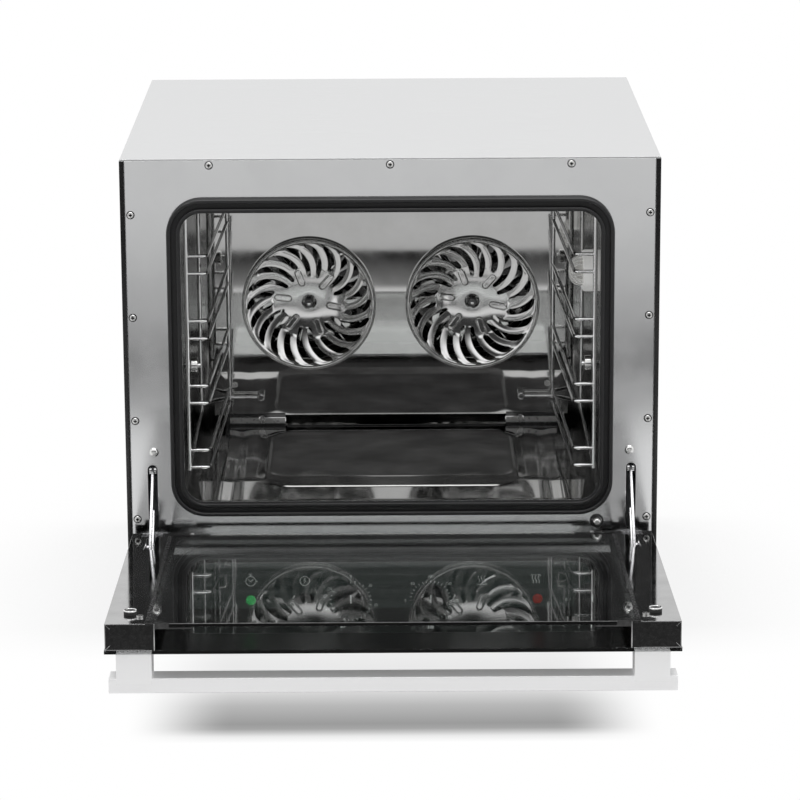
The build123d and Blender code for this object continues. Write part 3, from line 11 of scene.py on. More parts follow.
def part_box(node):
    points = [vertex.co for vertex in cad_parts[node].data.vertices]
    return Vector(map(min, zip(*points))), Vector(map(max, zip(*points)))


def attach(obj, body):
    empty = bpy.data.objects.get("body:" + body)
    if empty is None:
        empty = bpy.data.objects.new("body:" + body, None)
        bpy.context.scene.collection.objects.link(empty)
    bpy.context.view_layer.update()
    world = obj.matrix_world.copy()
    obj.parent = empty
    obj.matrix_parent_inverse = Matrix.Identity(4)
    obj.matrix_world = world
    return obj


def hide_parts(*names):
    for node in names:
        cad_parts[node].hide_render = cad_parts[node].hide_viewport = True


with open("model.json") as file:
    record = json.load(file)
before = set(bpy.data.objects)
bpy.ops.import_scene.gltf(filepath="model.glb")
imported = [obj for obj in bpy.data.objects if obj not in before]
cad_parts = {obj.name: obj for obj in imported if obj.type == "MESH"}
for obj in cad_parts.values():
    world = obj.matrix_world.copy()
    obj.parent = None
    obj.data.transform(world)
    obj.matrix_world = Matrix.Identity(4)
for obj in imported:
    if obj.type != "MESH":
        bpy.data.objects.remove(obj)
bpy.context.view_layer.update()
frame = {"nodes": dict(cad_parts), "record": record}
nodes = frame["nodes"]
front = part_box("front_frame")[0].y
MM = 0.001
scene = bpy.context.scene


def add(tree, kind, inputs=None, **settings):
    """New shader node with its settings and its inputs, which are values or sockets."""
    made = tree.nodes.new("ShaderNode" + kind)
    for key, value in settings.items():
        setattr(made, key, value)
    for key, value in (inputs or {}).items():
        if isinstance(value, bpy.types.NodeSocket):
            tree.links.new(value, made.inputs[key])
        else:
            made.inputs[key].default_value = value
    return made


def ramp(tree, factor, stops):
    """Colour ramp from (place, colour) stops."""
    made = add(tree, "ValToRGB", {"Fac": factor})
    elements = made.color_ramp.elements
    while len(elements) < len(stops):
        elements.new(0.5)
    for element, (place, colour) in zip(elements, stops):
        element.position = place
        element.color = (*colour, 1.0) if len(colour) == 3 else colour
    return made.outputs["Color"]


def multiplied(tree, first, second):
    """Product of two colours."""
    colour_sockets = (6, 7)
    inputs = {"Factor": 1.0}
    inputs.update(zip(colour_sockets, (first, second)))
    return add(tree, "Mix", inputs, data_type="RGBA", blend_type="MULTIPLY").outputs[2]


def effect_group(name, inputs, outputs):
    """Empty node group with float inputs and typed outputs."""
    tree = bpy.data.node_groups.new(name, "ShaderNodeTree")
    for socket, value in inputs:
        made = tree.interface.new_socket(socket, in_out="INPUT", socket_type="NodeSocketFloat")
        made.default_value = value
    for socket, kind in outputs:
        tree.interface.new_socket(socket, in_out="OUTPUT", socket_type=kind)
    return tree, tree.nodes.new("NodeGroupInput"), tree.nodes.new("NodeGroupOutput")


def grain_group():
    """Brushed grain along an object's X, with a mask for the roughness and a normal."""
    tree, source, target = effect_group(
        "brushed grain",
        [("Along", 3.0), ("Across", 900.0), ("Strength", 0.1)],
        [("Mask", "NodeSocketFloat"), ("Normal", "NodeSocketVector")],
    )
    place = add(tree, "TexCoord").outputs["Object"]
    stretch = add(
        tree,
        "CombineXYZ",
        {"X": source.outputs["Along"], "Y": source.outputs["Across"], "Z": source.outputs["Across"]},
    )
    scaled = add(tree, "VectorMath", {0: place, 1: stretch.outputs[0]}, operation="MULTIPLY")
    noise = add(
        tree, "TexNoise", {"Vector": scaled.outputs[0], "Scale": 1.0, "Detail": 4.0, "Roughness": 0.7}
    )
    edge = add(tree, "Bevel", {"Radius": 0.0007}, samples=4)
    bump = add(
        tree,
        "Bump",
        {
            "Height": noise.outputs["Fac"],
            "Strength": source.outputs["Strength"],
            "Distance": 0.0004,
            "Normal": edge.outputs[0],
        },
    )
    tree.links.new(noise.outputs["Fac"], target.inputs["Mask"])
    tree.links.new(bump.outputs[0], target.inputs["Normal"])
    return tree


def wave_group():
    """Slow waviness of thin polished sheet, with smears of its finish."""
    tree, source, target = effect_group(
        "sheet waviness",
        [("Scale", 9.0), ("Strength", 0.2), ("Smear", 30.0)],
        [("Mask", "NodeSocketFloat"), ("Normal", "NodeSocketVector")],
    )
    place = add(tree, "TexCoord").outputs["Object"]
    slow = add(tree, "TexNoise", {"Vector": place, "Scale": source.outputs["Scale"], "Detail": 1.0})
    smear = add(tree, "TexNoise", {"Vector": place, "Scale": source.outputs["Smear"], "Detail": 5.0})
    edge = add(tree, "Bevel", {"Radius": 0.0007}, samples=4)
    bump = add(
        tree,
        "Bump",
        {
            "Height": slow.outputs["Fac"],
            "Strength": source.outputs["Strength"],
            "Distance": 0.004,
            "Normal": edge.outputs[0],
        },
    )
    tree.links.new(smear.outputs["Fac"], target.inputs["Mask"])
    tree.links.new(bump.outputs[0], target.inputs["Normal"])
    return tree


def mottle_group():
    """Fine mottling for cast, moulded and painted surfaces."""
    tree, source, target = effect_group(
        "fine mottle",
        [("Scale", 300.0), ("Strength", 0.1)],
        [("Mask", "NodeSocketFloat"), ("Normal", "NodeSocketVector")],
    )
    place = add(tree, "TexCoord").outputs["Object"]
    fine = add(tree, "TexNoise", {"Vector": place, "Scale": source.outputs["Scale"], "Detail": 3.0})
    bump = add(
        tree,
        "Bump",
        {"Height": fine.outputs["Fac"], "Strength": source.outputs["Strength"], "Distance": 0.0003},
    )
    tree.links.new(fine.outputs["Fac"], target.inputs["Mask"])
    tree.links.new(bump.outputs[0], target.inputs["Normal"])
    return tree


grain = grain_group()
waviness = wave_group()
mottle = mottle_group()


def effect(tree, group, **inputs):
    """A shared effect placed in a material."""
    made = tree.nodes.new("ShaderNodeGroup")
    made.node_tree = group
    for key, value in inputs.items():
        made.inputs[key.capitalize()].default_value = value
    return made.outputs["Mask"], made.outputs["Normal"]


def between(tree, mask, low, high):
    """The mask's usual range stretched onto the range from low to high."""
    made = add(
        tree,
        "MapRange",
        {"Value": mask, "From Min": 0.3, "From Max": 0.7, "To Min": low, "To Max": high},
    )
    return made.outputs["Result"]


def blank(name):
    """New material with an empty tree and its output."""
    made = bpy.data.materials.new(name)
    made.use_nodes = True
    made.node_tree.nodes.clear()
    return made, made.node_tree, made.node_tree.nodes.new("ShaderNodeOutputMaterial")


def in_hollows(tree, colour, reach, darkest):
    """Painted shade: colour darkened by ambient occlusion where the surface lies deep between others within a
    reach.
    """
    shelter = add(tree, "AmbientOcclusion", {"Distance": reach}, samples=8)
    shade = ramp(tree, shelter.outputs["AO"], [(0.35, (darkest,) * 3), (0.75, (1.0,) * 3)])
    return multiplied(tree, colour, shade)


def coated(name, group, low, high, roughness, settings=None, painted_shade=None, **shader):
    """Material whose colour runs between two tints by a shared effect's mask, with painted shade in its
    hollows if asked.
    """
    made, tree, output = blank(name)
    mask, normal = effect(tree, group, **(settings or {}))
    stretched = between(tree, mask, 0.0, 1.0)
    colour = ramp(tree, stretched, [(0.0, low), (1.0, high)])
    # Painted shade: ambient occlusion darkens the colour in hollows
    if painted_shade:
        colour = in_hollows(tree, colour, *painted_shade)
    inputs = {
        "Base Color": colour,
        "Roughness": between(tree, mask, *roughness),
        "Normal": normal,
    }
    inputs.update(shader)
    surface = add(tree, "BsdfPrincipled", inputs)
    tree.links.new(surface.outputs[0], output.inputs["Surface"])
    return made


def clear_glass(name, tint, dirt):
    """Glass with a slight tint and faint dust in its roughness."""
    made, tree, output = blank(name)
    mask, normal = effect(tree, waviness, scale=5.0, strength=0.02, smear=20.0)
    surface = add(
        tree,
        "BsdfPrincipled",
        {
            "Base Color": tint,
            "Roughness": between(tree, mask, 0.0, dirt),
            "Transmission Weight": 1.0,
            "IOR": 1.5,
            "Normal": normal,
        },
    )
    tree.links.new(surface.outputs[0], output.inputs["Surface"])
    return made


finishes = {
    "casing_steel": coated(
        "casing steel", grain, (0.71, 0.715, 0.72), (0.73, 0.735, 0.74), (0.24, 0.28),
        {"along": 4.0, "across": 500.0, "strength": 0.004}, Metallic=1.0,
    ),
    "frame_steel": coated(
        "frame steel", waviness, (0.72, 0.725, 0.73), (0.8, 0.805, 0.81), (0.11, 0.16),
        {"scale": 5.0, "strength": 0.12, "smear": 20.0}, Metallic=1.0,
    ),
    "galvanised_steel": coated(
        "galvanised steel", mottle, (0.5, 0.51, 0.52), (0.68, 0.69, 0.7), (0.35, 0.5),
        {"scale": 90.0, "strength": 0.1}, Metallic=1.0,
    ),
    "polished_steel": coated(
        "polished steel", waviness, (0.7, 0.7, 0.69), (0.78, 0.78, 0.775), (0.015, 0.05),
        {"scale": 4.0, "strength": 0.05, "smear": 25.0}, Metallic=1.0,
    ),
    "chromed_wire": coated(
        "chromed wire", waviness, (0.82, 0.82, 0.82), (0.88, 0.88, 0.88), (0.04, 0.09),
        {"scale": 20.0, "strength": 0.05, "smear": 60.0}, Metallic=1.0,
    ),
    # Plated screws with painted shade in the hollows of their heads
    "plated_screws": coated(
        "plated screws", mottle, (0.8, 0.8, 0.79), (0.9, 0.9, 0.89), (0.14, 0.24),
        {"scale": 900.0, "strength": 0.05}, (2 * MM, 0.3), Metallic=1.0,
    ),
    # Hinge steel, its hollows darkened almost to black by painted shade
    "hinge_steel": coated(
        "hinge steel", grain, (0.34, 0.34, 0.35), (0.7, 0.7, 0.71), (0.16, 0.3),
        {"along": 150.0, "across": 900.0, "strength": 0.35}, (5 * MM, 0.02), Metallic=1.0,
    ),
    "gasket_rubber": coated(
        "gasket rubber", mottle, (0.012, 0.012, 0.013), (0.02, 0.02, 0.021), (0.38, 0.5),
        {"scale": 500.0, "strength": 0.15},
    ),
    "foot_rubber": coated(
        "foot rubber", mottle, (0.02, 0.02, 0.02), (0.032, 0.032, 0.032), (0.6, 0.75),
        {"scale": 600.0, "strength": 0.3},
    ),
    # Door steel: the door's polished stainless darkened as painted shade
    "door_steel": coated(
        "door steel", waviness, (0.34, 0.34, 0.34), (0.42, 0.42, 0.42), (0.05, 0.1),
        {"scale": 5.0, "strength": 0.06, "smear": 30.0}, Metallic=1.0,
    ),
    "door_glass": clear_glass("door glass", (0.93, 0.95, 0.94, 1.0), 0.01),
    "lamp_glass": clear_glass("lamp glass", (0.97, 0.98, 0.98, 1.0), 0.04),
    "lamp_parts": coated(
        "lamp parts", mottle, (0.6, 0.58, 0.55), (0.75, 0.73, 0.7), (0.3, 0.4),
        {"scale": 400.0, "strength": 0.05}, Metallic=1.0,
    ),
    # Handle metal with a faint white glow: painted light that keeps the bar bright
    "handle_metal": coated(
        "handle metal", grain, (0.84, 0.84, 0.845), (0.92, 0.92, 0.925), (0.3, 0.4),
        {"along": 4.0, "across": 900.0, "strength": 0.05}, Metallic=0.35,
        **{"Emission Color": (1.0, 1.0, 1.0, 1.0), "Emission Strength": 0.16},
    ),
    "panel_black": coated(
        "panel black", mottle, (0.012, 0.014, 0.014), (0.02, 0.023, 0.022), (0.28, 0.4),
        {"scale": 700.0, "strength": 0.05},
    ),
    "knob_black": coated(
        "knob black", mottle, (0.012, 0.012, 0.012), (0.02, 0.02, 0.02), (0.35, 0.45),
        {"scale": 900.0, "strength": 0.1},
    ),
    "button_black": coated(
        "button black", mottle, (0.014, 0.014, 0.014), (0.022, 0.022, 0.022), (0.3, 0.4),
        {"scale": 900.0, "strength": 0.05},
    ),
    "pilot_green": coated(
        "pilot green", mottle, (0.02, 0.4, 0.08), (0.04, 0.5, 0.12), (0.08, 0.14),
        {"scale": 300.0, "strength": 0.02},
        **{"Transmission Weight": 0.4, "Emission Color": (0.1, 0.8, 0.25, 1.0), "Emission Strength": 0.5},
    ),
    "pilot_red": coated(
        "pilot red", mottle, (0.5, 0.02, 0.015), (0.62, 0.035, 0.025), (0.08, 0.14),
        {"scale": 300.0, "strength": 0.02},
        **{"Transmission Weight": 0.4, "Emission Color": (1.0, 0.12, 0.06, 1.0), "Emission Strength": 0.15},
    ),
    "switch_plastic": coated(
        "switch plastic", mottle, (0.03, 0.03, 0.032), (0.045, 0.045, 0.047), (0.35, 0.5),
        {"scale": 500.0, "strength": 0.1},
    ),
    "motor_paint": coated(
        "motor paint", mottle, (0.03, 0.032, 0.035), (0.05, 0.052, 0.056), (0.35, 0.5),
        {"scale": 350.0, "strength": 0.2},
    ),
    "element_steel": coated(
        "element steel", mottle, (0.09, 0.085, 0.08), (0.16, 0.15, 0.14), (0.4, 0.55),
        {"scale": 200.0, "strength": 0.15}, Metallic=1.0,
    ),
    "mineral_wool": coated(
        "mineral wool", mottle, (0.55, 0.5, 0.38), (0.72, 0.66, 0.52), (0.9, 1.0),
        {"scale": 160.0, "strength": 1.0},
    ),
    "glass_print": coated(
        "glass print", mottle, (0.006, 0.006, 0.006), (0.009, 0.009, 0.009), (0.1, 0.16),
        {"scale": 500.0, "strength": 0.01},
    ),
    "edge_black": coated(
        "edge black", mottle, (0.01, 0.01, 0.01), (0.016, 0.016, 0.016), (0.22, 0.3),
        {"scale": 500.0, "strength": 0.03},
    ),
    # Chamber walls: the polished steel darkened as painted shade
    "painted_shade_wall_steel": coated(
        "wall steel", waviness, (0.22, 0.22, 0.215), (0.32, 0.32, 0.315), (0.13, 0.2),
        {"scale": 6.0, "strength": 0.1, "smear": 30.0}, Metallic=1.0,
    ),
    "bracket_steel": coated(
        "bracket steel", mottle, (0.5, 0.5, 0.495), (0.62, 0.62, 0.615), (0.25, 0.35),
        {"scale": 200.0, "strength": 0.05}, Metallic=0.4,
    ),
    "cap_steel": coated(
        "cap steel", grain, (0.03, 0.03, 0.03), (0.05, 0.05, 0.05), (0.2, 0.3),
        {"along": 300.0, "across": 300.0, "strength": 0.03}, Metallic=1.0,
    ),
    "clip_steel": coated(
        "clip steel", mottle, (0.1, 0.1, 0.1), (0.16, 0.16, 0.16), (0.12, 0.2),
        {"scale": 300.0, "strength": 0.03}, Metallic=1.0,
    ),
    # Satin collar of the lamp, glowing as painted light
    "lamp_satin": coated(
        "lamp satin", mottle, (0.78, 0.78, 0.775), (0.88, 0.88, 0.875), (0.3, 0.4),
        {"scale": 300.0, "strength": 0.03}, Metallic=0.3,
        **{"Emission Color": (1.0, 1.0, 0.98, 1.0), "Emission Strength": 0.3},
    ),
    "lamp_dome": coated(
        "lamp dome", waviness, (0.92, 0.92, 0.91), (0.97, 0.97, 0.96), (0.01, 0.04),
        {"scale": 60.0, "strength": 0.25, "smear": 60.0}, IOR=1.5,
        **{"Transmission Weight": 0.85, "Emission Color": (1.0, 1.0, 0.98, 1.0), "Emission Strength": 0.05},
    ),
    "bright_chrome": coated(
        "bright chrome", mottle, (0.86, 0.86, 0.86), (0.93, 0.93, 0.93), (0.05, 0.1),
        {"scale": 300.0, "strength": 0.02}, Metallic=1.0,
    ),
    "guard_steel": coated(
        "guard steel", waviness, (0.82, 0.82, 0.815), (0.9, 0.9, 0.895), (0.08, 0.14),
        {"scale": 30.0, "strength": 0.05, "smear": 60.0}, Metallic=1.0,
    ),
    "floor_steel": coated(
        "floor steel", waviness, (0.5, 0.5, 0.495), (0.6, 0.6, 0.595), (0.06, 0.11),
        {"scale": 7.0, "strength": 0.1, "smear": 25.0}, Metallic=1.0,
    ),
    # Print on the panel overlay in its own dark green-grey, with a faint glow of painted light
    "panel_print": coated(
        "panel print", mottle, (0.045, 0.062, 0.056), (0.06, 0.08, 0.072), (0.3, 0.4),
        {"scale": 700.0, "strength": 0.04},
        **{"Emission Color": (0.75, 1.0, 0.93, 1.0), "Emission Strength": 0.02},
    ),
    # White print on the panel, glowing as painted light
    "white_print": coated(
        "white print", mottle, (0.68, 0.7, 0.69), (0.8, 0.82, 0.81), (0.4, 0.5),
        {"scale": 900.0, "strength": 0.03},
        **{"Emission Color": (0.95, 1.0, 0.97, 1.0), "Emission Strength": 0.45},
    ),
}


def finish_with(piece, name):
    """Gives a piece one of the finishes."""
    piece.data.materials.clear()
    piece.data.materials.append(finishes[name])


for part in frame["record"]["subparts"]:
    finish_with(nodes[part["node"]], part["material_slot"])
# The chamber shell takes the wall steel darkened as painted shade
finish_with(nodes["chamber_shell"], "painted_shade_wall_steel")
finish_with(nodes["baffle_brackets"], "clip_steel")
finish_with(nodes["glass_clips"], "clip_steel")
finish_with(nodes["rack_fixings"], "bright_chrome")
finish_with(nodes["thumb_nuts"], "plated_screws")


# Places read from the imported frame
joints = {joint["name"]: joint for joint in frame["record"]["behaviour"]["joints"]}
door_travel = joints["door_hinge"]["range_deg"][1]
door_pivot = Vector(joints["door_hinge"]["pos_m"])
door_place = Matrix.Translation(door_pivot) @ Matrix.Rotation(radians(door_travel - 90.0), 4, "X")
sides = (("left", -1), ("right", 1))


def box_in(place, name):
    """Lowest and highest corners of a node along a tilted place's own axes."""
    into = place.inverted()
    corners = [into @ vertex.co for vertex in nodes[name].data.vertices]
    low = Vector([min(corner[axis] for corner in corners) for axis in range(3)])
    high = Vector([max(corner[axis] for corner in corners) for axis in range(3)])
    return low, high


def finished(name, shape, finish, body, smooth_below=30.0):
    """Piece made of a bmesh, with its finish, riding on a body."""
    bmesh.ops.recalc_face_normals(shape, faces=shape.faces[:])
    mesh = bpy.data.meshes.new(name)
    shape.to_mesh(mesh)
    shape.free()
    mesh.polygons.foreach_set("use_smooth", [True] * len(mesh.polygons))
    mesh.set_sharp_from_angle(angle=radians(smooth_below))
    piece = bpy.data.objects.new(name, mesh)
    scene.collection.objects.link(piece)
    finish_with(piece, finish)
    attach(piece, body)
    return piece


def add_shape(shape, other, place):
    """Moves a second bmesh to a place and joins it to the first."""
    bmesh.ops.transform(other, matrix=place, verts=other.verts[:])
    mesh = bpy.data.meshes.new("joined")
    other.to_mesh(mesh)
    other.free()
    shape.from_mesh(mesh)
    bpy.data.meshes.remove(mesh)


def add_box(shape, low, high, edge=0.0, place=Matrix()):
    """Box between two corners, with its edges rounded."""
    size = Vector(high) - Vector(low)
    made = bmesh.new()
    middle = Matrix.Translation((Vector(low) + Vector(high)) / 2)
    bmesh.ops.create_cube(made, size=1.0, matrix=middle @ Matrix.Diagonal((*size, 1.0)))
    if edge:
        bmesh.ops.bevel(
            made, geom=made.edges[:], offset=edge, segments=2, profile=0.5, affect="EDGES", material=-1
        )
    add_shape(shape, made, place)


def add_turned(shape, profile, place, steps=32):
    """Profile of (radius, height) points spun round the Z of a place."""
    made = bmesh.new()
    points = [made.verts.new((radius, 0.0, height)) for radius, height in profile]
    edges = [made.edges.new(pair) for pair in zip(points, points[1:])]
    bmesh.ops.spin(
        made,
        geom=points + edges,
        cent=(0, 0, 0),
        axis=(0, 0, 1),
        dvec=(0, 0, 0),
        angle=2 * pi,
        steps=steps,
        use_merge=True,
        use_duplicate=False,
    )
    bmesh.ops.remove_doubles(made, verts=made.verts[:], dist=0.001 * MM)
    add_shape(shape, made, place)


def facing_place(x, height, y=front):
    """Place on the oven's front whose Z looks out of it."""
    return Matrix.Translation((x, y, height)) @ Matrix.Rotation(radians(90.0), 4, "X")


def add_outline(shape, low, high, corner):
    """Rectangle with rounded corners, at height zero."""
    places = ((low[0], low[1]), (high[0], low[1]), (high[0], high[1]), (low[0], high[1]))
    points = [shape.verts.new((x, y, 0)) for x, y in places]
    shape.faces.new(points)
    if corner:
        bmesh.ops.bevel(
            shape, geom=points, offset=corner, segments=10, profile=0.5, affect="VERTICES", material=-1
        )


def plate(name, rims, thickness, place, finish, body):
    """Flat plate between an outer rim and any inner rims of (low, high, corner)."""
    shape = bmesh.new()
    for rim in rims:
        add_outline(shape, *rim)
    bmesh.ops.delete(shape, geom=shape.faces[:], context="FACES_ONLY")
    bmesh.ops.triangle_fill(shape, edges=shape.edges[:], use_beauty=True)
    raised = bmesh.ops.extrude_face_region(shape, geom=shape.faces[:])["geom"]
    top = [item for item in raised if isinstance(item, bmesh.types.BMVert)]
    bmesh.ops.translate(shape, verts=top, vec=(0, 0, thickness))
    bmesh.ops.transform(shape, matrix=place, verts=shape.verts[:])
    return finished(name, shape, finish, body)


# Black print round the window, on the upper face of the outer glass
outer_low, outer_high = box_in(door_place, "door_outer_glass")
outer_glass_top = outer_low.z + 4 * MM
print_thickness = 0.12 * MM
print_inset = 1.2 * MM
window_half_width = 216 * MM
window_front = 66 * MM
window_rear = 42 * MM
window_corner = 23 * MM
print_rim = (
    (outer_low.x + print_inset, outer_low.y + print_inset),
    (outer_high.x - print_inset, outer_high.y - print_inset),
    3 * MM,
)
window_rim = (
    (-window_half_width, outer_low.y + window_front),
    (window_half_width, outer_high.y - window_rear),
    window_corner,
)
plate(
    "outer_glass_print",
    [print_rim, window_rim],
    print_thickness,
    door_place @ Matrix.Translation((0, 0, outer_glass_top)),
    "glass_print",
    "door",
)

# Bright cut edge of the print round the window
window_edge = 0.6 * MM
plate(
    "window_edge_line",
    [
        window_rim,
        (
            (window_rim[0][0] + window_edge, window_rim[0][1] + 2 * window_edge),
            (window_rim[1][0] - window_edge, window_rim[1][1] - 2 * window_edge),
            window_corner - window_edge,
        ),
    ],
    print_thickness,
    door_place @ Matrix.Translation((0, 0, outer_glass_top)),
    "bright_chrome",
    "door",
)

# Narrow black print along the edges of the inner glass, on its lower face
inner_low, inner_high = box_in(door_place, "door_inner_glass")
inner_print_width = 9 * MM
plate(
    "inner_glass_print",
    [
        ((inner_low.x, inner_low.y + print_inset), (inner_high.x, inner_high.y - print_inset), 0.0),
        (
            (inner_low.x + inner_print_width, inner_low.y + inner_print_width),
            (inner_high.x - inner_print_width, inner_high.y - 3 * inner_print_width),
            4 * MM,
        ),
    ],
    -print_thickness,
    door_place @ Matrix.Translation((0, 0, inner_low.z)),
    "glass_print",
    "door",
)

# Ends of the door's side channels: a dark face with mitred seams and a bright inner edge
cap_rim = 0.9 * MM
cap_thickness = 0.25 * MM
seam_width = 0.35 * MM
seam_reach = 7.5 * MM
for name, side in sides:
    low, high = box_in(door_place, f"door_channel_{name}")
    cap_place = door_place @ Matrix.Translation((0, low.y, 0)) @ Matrix.Rotation(radians(90.0), 4, "X")
    outer_x, inner_x = (low.x, high.x) if side < 0 else (high.x, low.x)
    cap_face = bmesh.new()
    add_box(
        cap_face,
        (low.x + cap_rim, low.z + cap_rim, 0),
        (high.x - cap_rim, high.z - cap_rim, cap_thickness),
        0.0,
        cap_place,
    )
    finished(f"cap_face_{name}", cap_face, "cap_steel", "door")
    bright = bmesh.new()
    edge_near, edge_far = sorted((inner_x, inner_x + side * cap_rim))
    add_box(bright, (edge_near, low.z, 0), (edge_far, high.z, 2 * cap_thickness), 0.0, cap_place)
    for corner_z, turn in ((low.z, 45.0), (high.z, -45.0)):
        seam = Matrix.Translation((outer_x, corner_z, 0)) @ Matrix.Rotation(radians(-side * turn), 4, "Z")
        reach_near, reach_far = sorted((-side * cap_rim, -side * seam_reach))
        add_box(
            bright,
            (reach_near, -seam_width / 2, 0),
            (reach_far, seam_width / 2, 1.2 * cap_thickness),
            0.0,
            cap_place @ seam,
        )
    finished(f"cap_seams_{name}", bright, "bright_chrome", "door")

# Bright lips that hold the rear edge of the inner glass, and rings round the door's bumpers
lip_inner = 221.5 * MM
lip_outer = 246.5 * MM
lip_thickness = 2.4 * MM
rear_lips = bmesh.new()
for name, side in sides:
    near, far = sorted((side * lip_inner, side * lip_outer))
    add_box(
        rear_lips,
        (near, inner_high.y + 0.3 * MM, inner_low.z),
        (far, inner_high.y + lip_thickness, inner_high.z + 0.8 * MM),
        0.4 * MM,
        door_place,
    )
finished("glass_rear_lips", rear_lips, "bright_chrome", "door")
bumper_low, bumper_high = box_in(door_place, "door_bumpers")
bumper_radius = (bumper_high.y - bumper_low.y) / 2
ring_thickness = 0.9 * MM
bumper_rings = bmesh.new()
for name, side in sides:
    ring_x = bumper_low.x + bumper_radius if side < 0 else bumper_high.x - bumper_radius
    ring_place = door_place @ Matrix.Translation(
        (ring_x, (bumper_low.y + bumper_high.y) / 2, bumper_high.z - 0.4 * MM)
    )
    ring_profile = []
    for step in range(13):
        turn = 2 * pi * step / 12
        ring_profile.append(
            (bumper_radius - ring_thickness * (0.6 - cos(turn)), ring_thickness * sin(turn))
        )
    add_turned(bumper_rings, ring_profile, ring_place, steps=40)
finished("bumper_rings", bumper_rings, "bright_chrome", "door")

# Chrome bezel round the door switch's plunger
plunger_low, plunger_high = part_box("door_switch_plunger")
bezel_inner = (plunger_high.x - plunger_low.x) / 2 + 0.4 * MM
bezel_outer = 6.6 * MM
bezel = bmesh.new()
bezel_profile = [
    (bezel_inner, 0.0),
    (bezel_inner, 1.8 * MM),
    (0.5 * (bezel_inner + bezel_outer), 2.6 * MM),
    (bezel_outer - 0.7 * MM, 1.9 * MM),
    (bezel_outer, 0.8 * MM),
    (bezel_outer, 0.0),
    (bezel_inner, 0.0),
]
bezel_place = facing_place((plunger_low.x + plunger_high.x) / 2, (plunger_low.z + plunger_high.z) / 2)
add_turned(bezel, bezel_profile, bezel_place, steps=48)
finished("switch_bezel", bezel, "bright_chrome", "oven_body", 40.0)

# Glowing lenses over the pilot lamps
lens_radius = 5.7 * MM
lens_rise = 1.6 * MM
for colour in ("green", "red"):
    lamp_low, lamp_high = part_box(f"pilot_lamp_{colour}")
    lens = bmesh.new()
    lens_profile = [
        (lens_radius * sin(pi / 2 * step / 8), lens_rise * cos(pi / 2 * step / 8)) for step in range(9)
    ]
    lens_place = facing_place(
        (lamp_low.x + lamp_high.x) / 2, (lamp_low.z + lamp_high.z) / 2, lamp_low.y + lens_rise / 2
    )
    add_turned(lens, lens_profile, lens_place)
    finished(f"pilot_lens_{colour}", lens, f"pilot_{colour}", "oven_body", 60.0)

# Stay arms: a thin plate, a shorter doubling plate, an eye at the door and a roller at the tip
arm_end_radius = 5.6 * MM
arm_half_thickness = 1.5 * MM
arm_half_height = 5.0 * MM
doubler_length = 58 * MM
doubler_thickness = 2.2 * MM
eye_radius = 7.6 * MM
roller_radius = 5.0 * MM
roller_half_width = 4.6 * MM
for name, side in sides:
    arm_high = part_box(f"hinge_arm_{name}")[1]
    pivot = Vector(joints[f"stay_arm_{name}_pivot"]["pos_m"])
    tip = Vector((pivot.x, arm_high.y - arm_end_radius, arm_high.z - arm_end_radius))
    arm_length = (tip - pivot).length
    arm_angle = atan2(tip.z - pivot.z, tip.y - pivot.y)
    arm_place = Matrix.Translation(pivot) @ Matrix(
        (
            (0.0, 0.0, 1.0, 0.0),
            (cos(arm_angle), -sin(arm_angle), 0.0, 0.0),
            (sin(arm_angle), cos(arm_angle), 0.0, 0.0),
            (0.0, 0.0, 0.0, 1.0),
        )
    )
    plates = bmesh.new()
    add_box(
        plates,
        (0, -arm_half_height, -arm_half_thickness),
        (arm_length, arm_half_height, arm_half_thickness),
        0.5 * MM,
        arm_place,
    )
    near, far = sorted((-side * arm_half_thickness, -side * (arm_half_thickness + doubler_thickness)))
    add_box(
        plates, (0, -arm_half_height, near), (doubler_length, 0.7 * arm_half_height, far), 0.5 * MM, arm_place
    )
    eye = [
        (0.0, -2 * arm_half_thickness),
        (eye_radius, -2 * arm_half_thickness),
        (eye_radius, 2 * arm_half_thickness),
        (0.0, 2 * arm_half_thickness),
    ]
    add_turned(plates, eye, arm_place)
    linked = finished(f"plated_stay_arm_{name}", plates, "hinge_steel", f"stay_arm_{name}")
    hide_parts(f"hinge_arm_{name}")
    roller = bmesh.new()
    roller_profile = [
        (0.0, -roller_half_width),
        (roller_radius - 0.8 * MM, -roller_half_width),
        (roller_radius, -roller_half_width + 0.8 * MM),
        (roller_radius, roller_half_width - 0.8 * MM),
        (roller_radius - 0.8 * MM, roller_half_width),
        (0.0, roller_half_width),
    ]
    add_turned(roller, roller_profile, arm_place @ Matrix.Translation((arm_length, 0, 0)))
    finished(f"stay_roller_{name}", roller, "bright_chrome", f"stay_arm_{name}", 40.0)

# Bright pressed rims round the slots of the stay arms
slot_bottom = 147 * MM
slot_top = 223 * MM
slot_half = 5.5 * MM
rim_width = 0.8 * MM
for name, side in sides:
    slot_x = joints[f"stay_arm_{name}_pivot"]["pos_m"][0]
    outer_half = slot_half + rim_width
    plate(
        f"slot_rim_{name}",
        [
            (
                (slot_x - outer_half, slot_bottom - rim_width),
                (slot_x + outer_half, slot_top + rim_width),
                outer_half - 0.05 * MM,
            ),
            (
                (slot_x - slot_half, slot_bottom),
                (slot_x + slot_half, slot_top),
                slot_half - 0.05 * MM,
            ),
        ],
        0.4 * MM,
        facing_place(0, 0),
        "bright_chrome",
        "oven_body",
    )

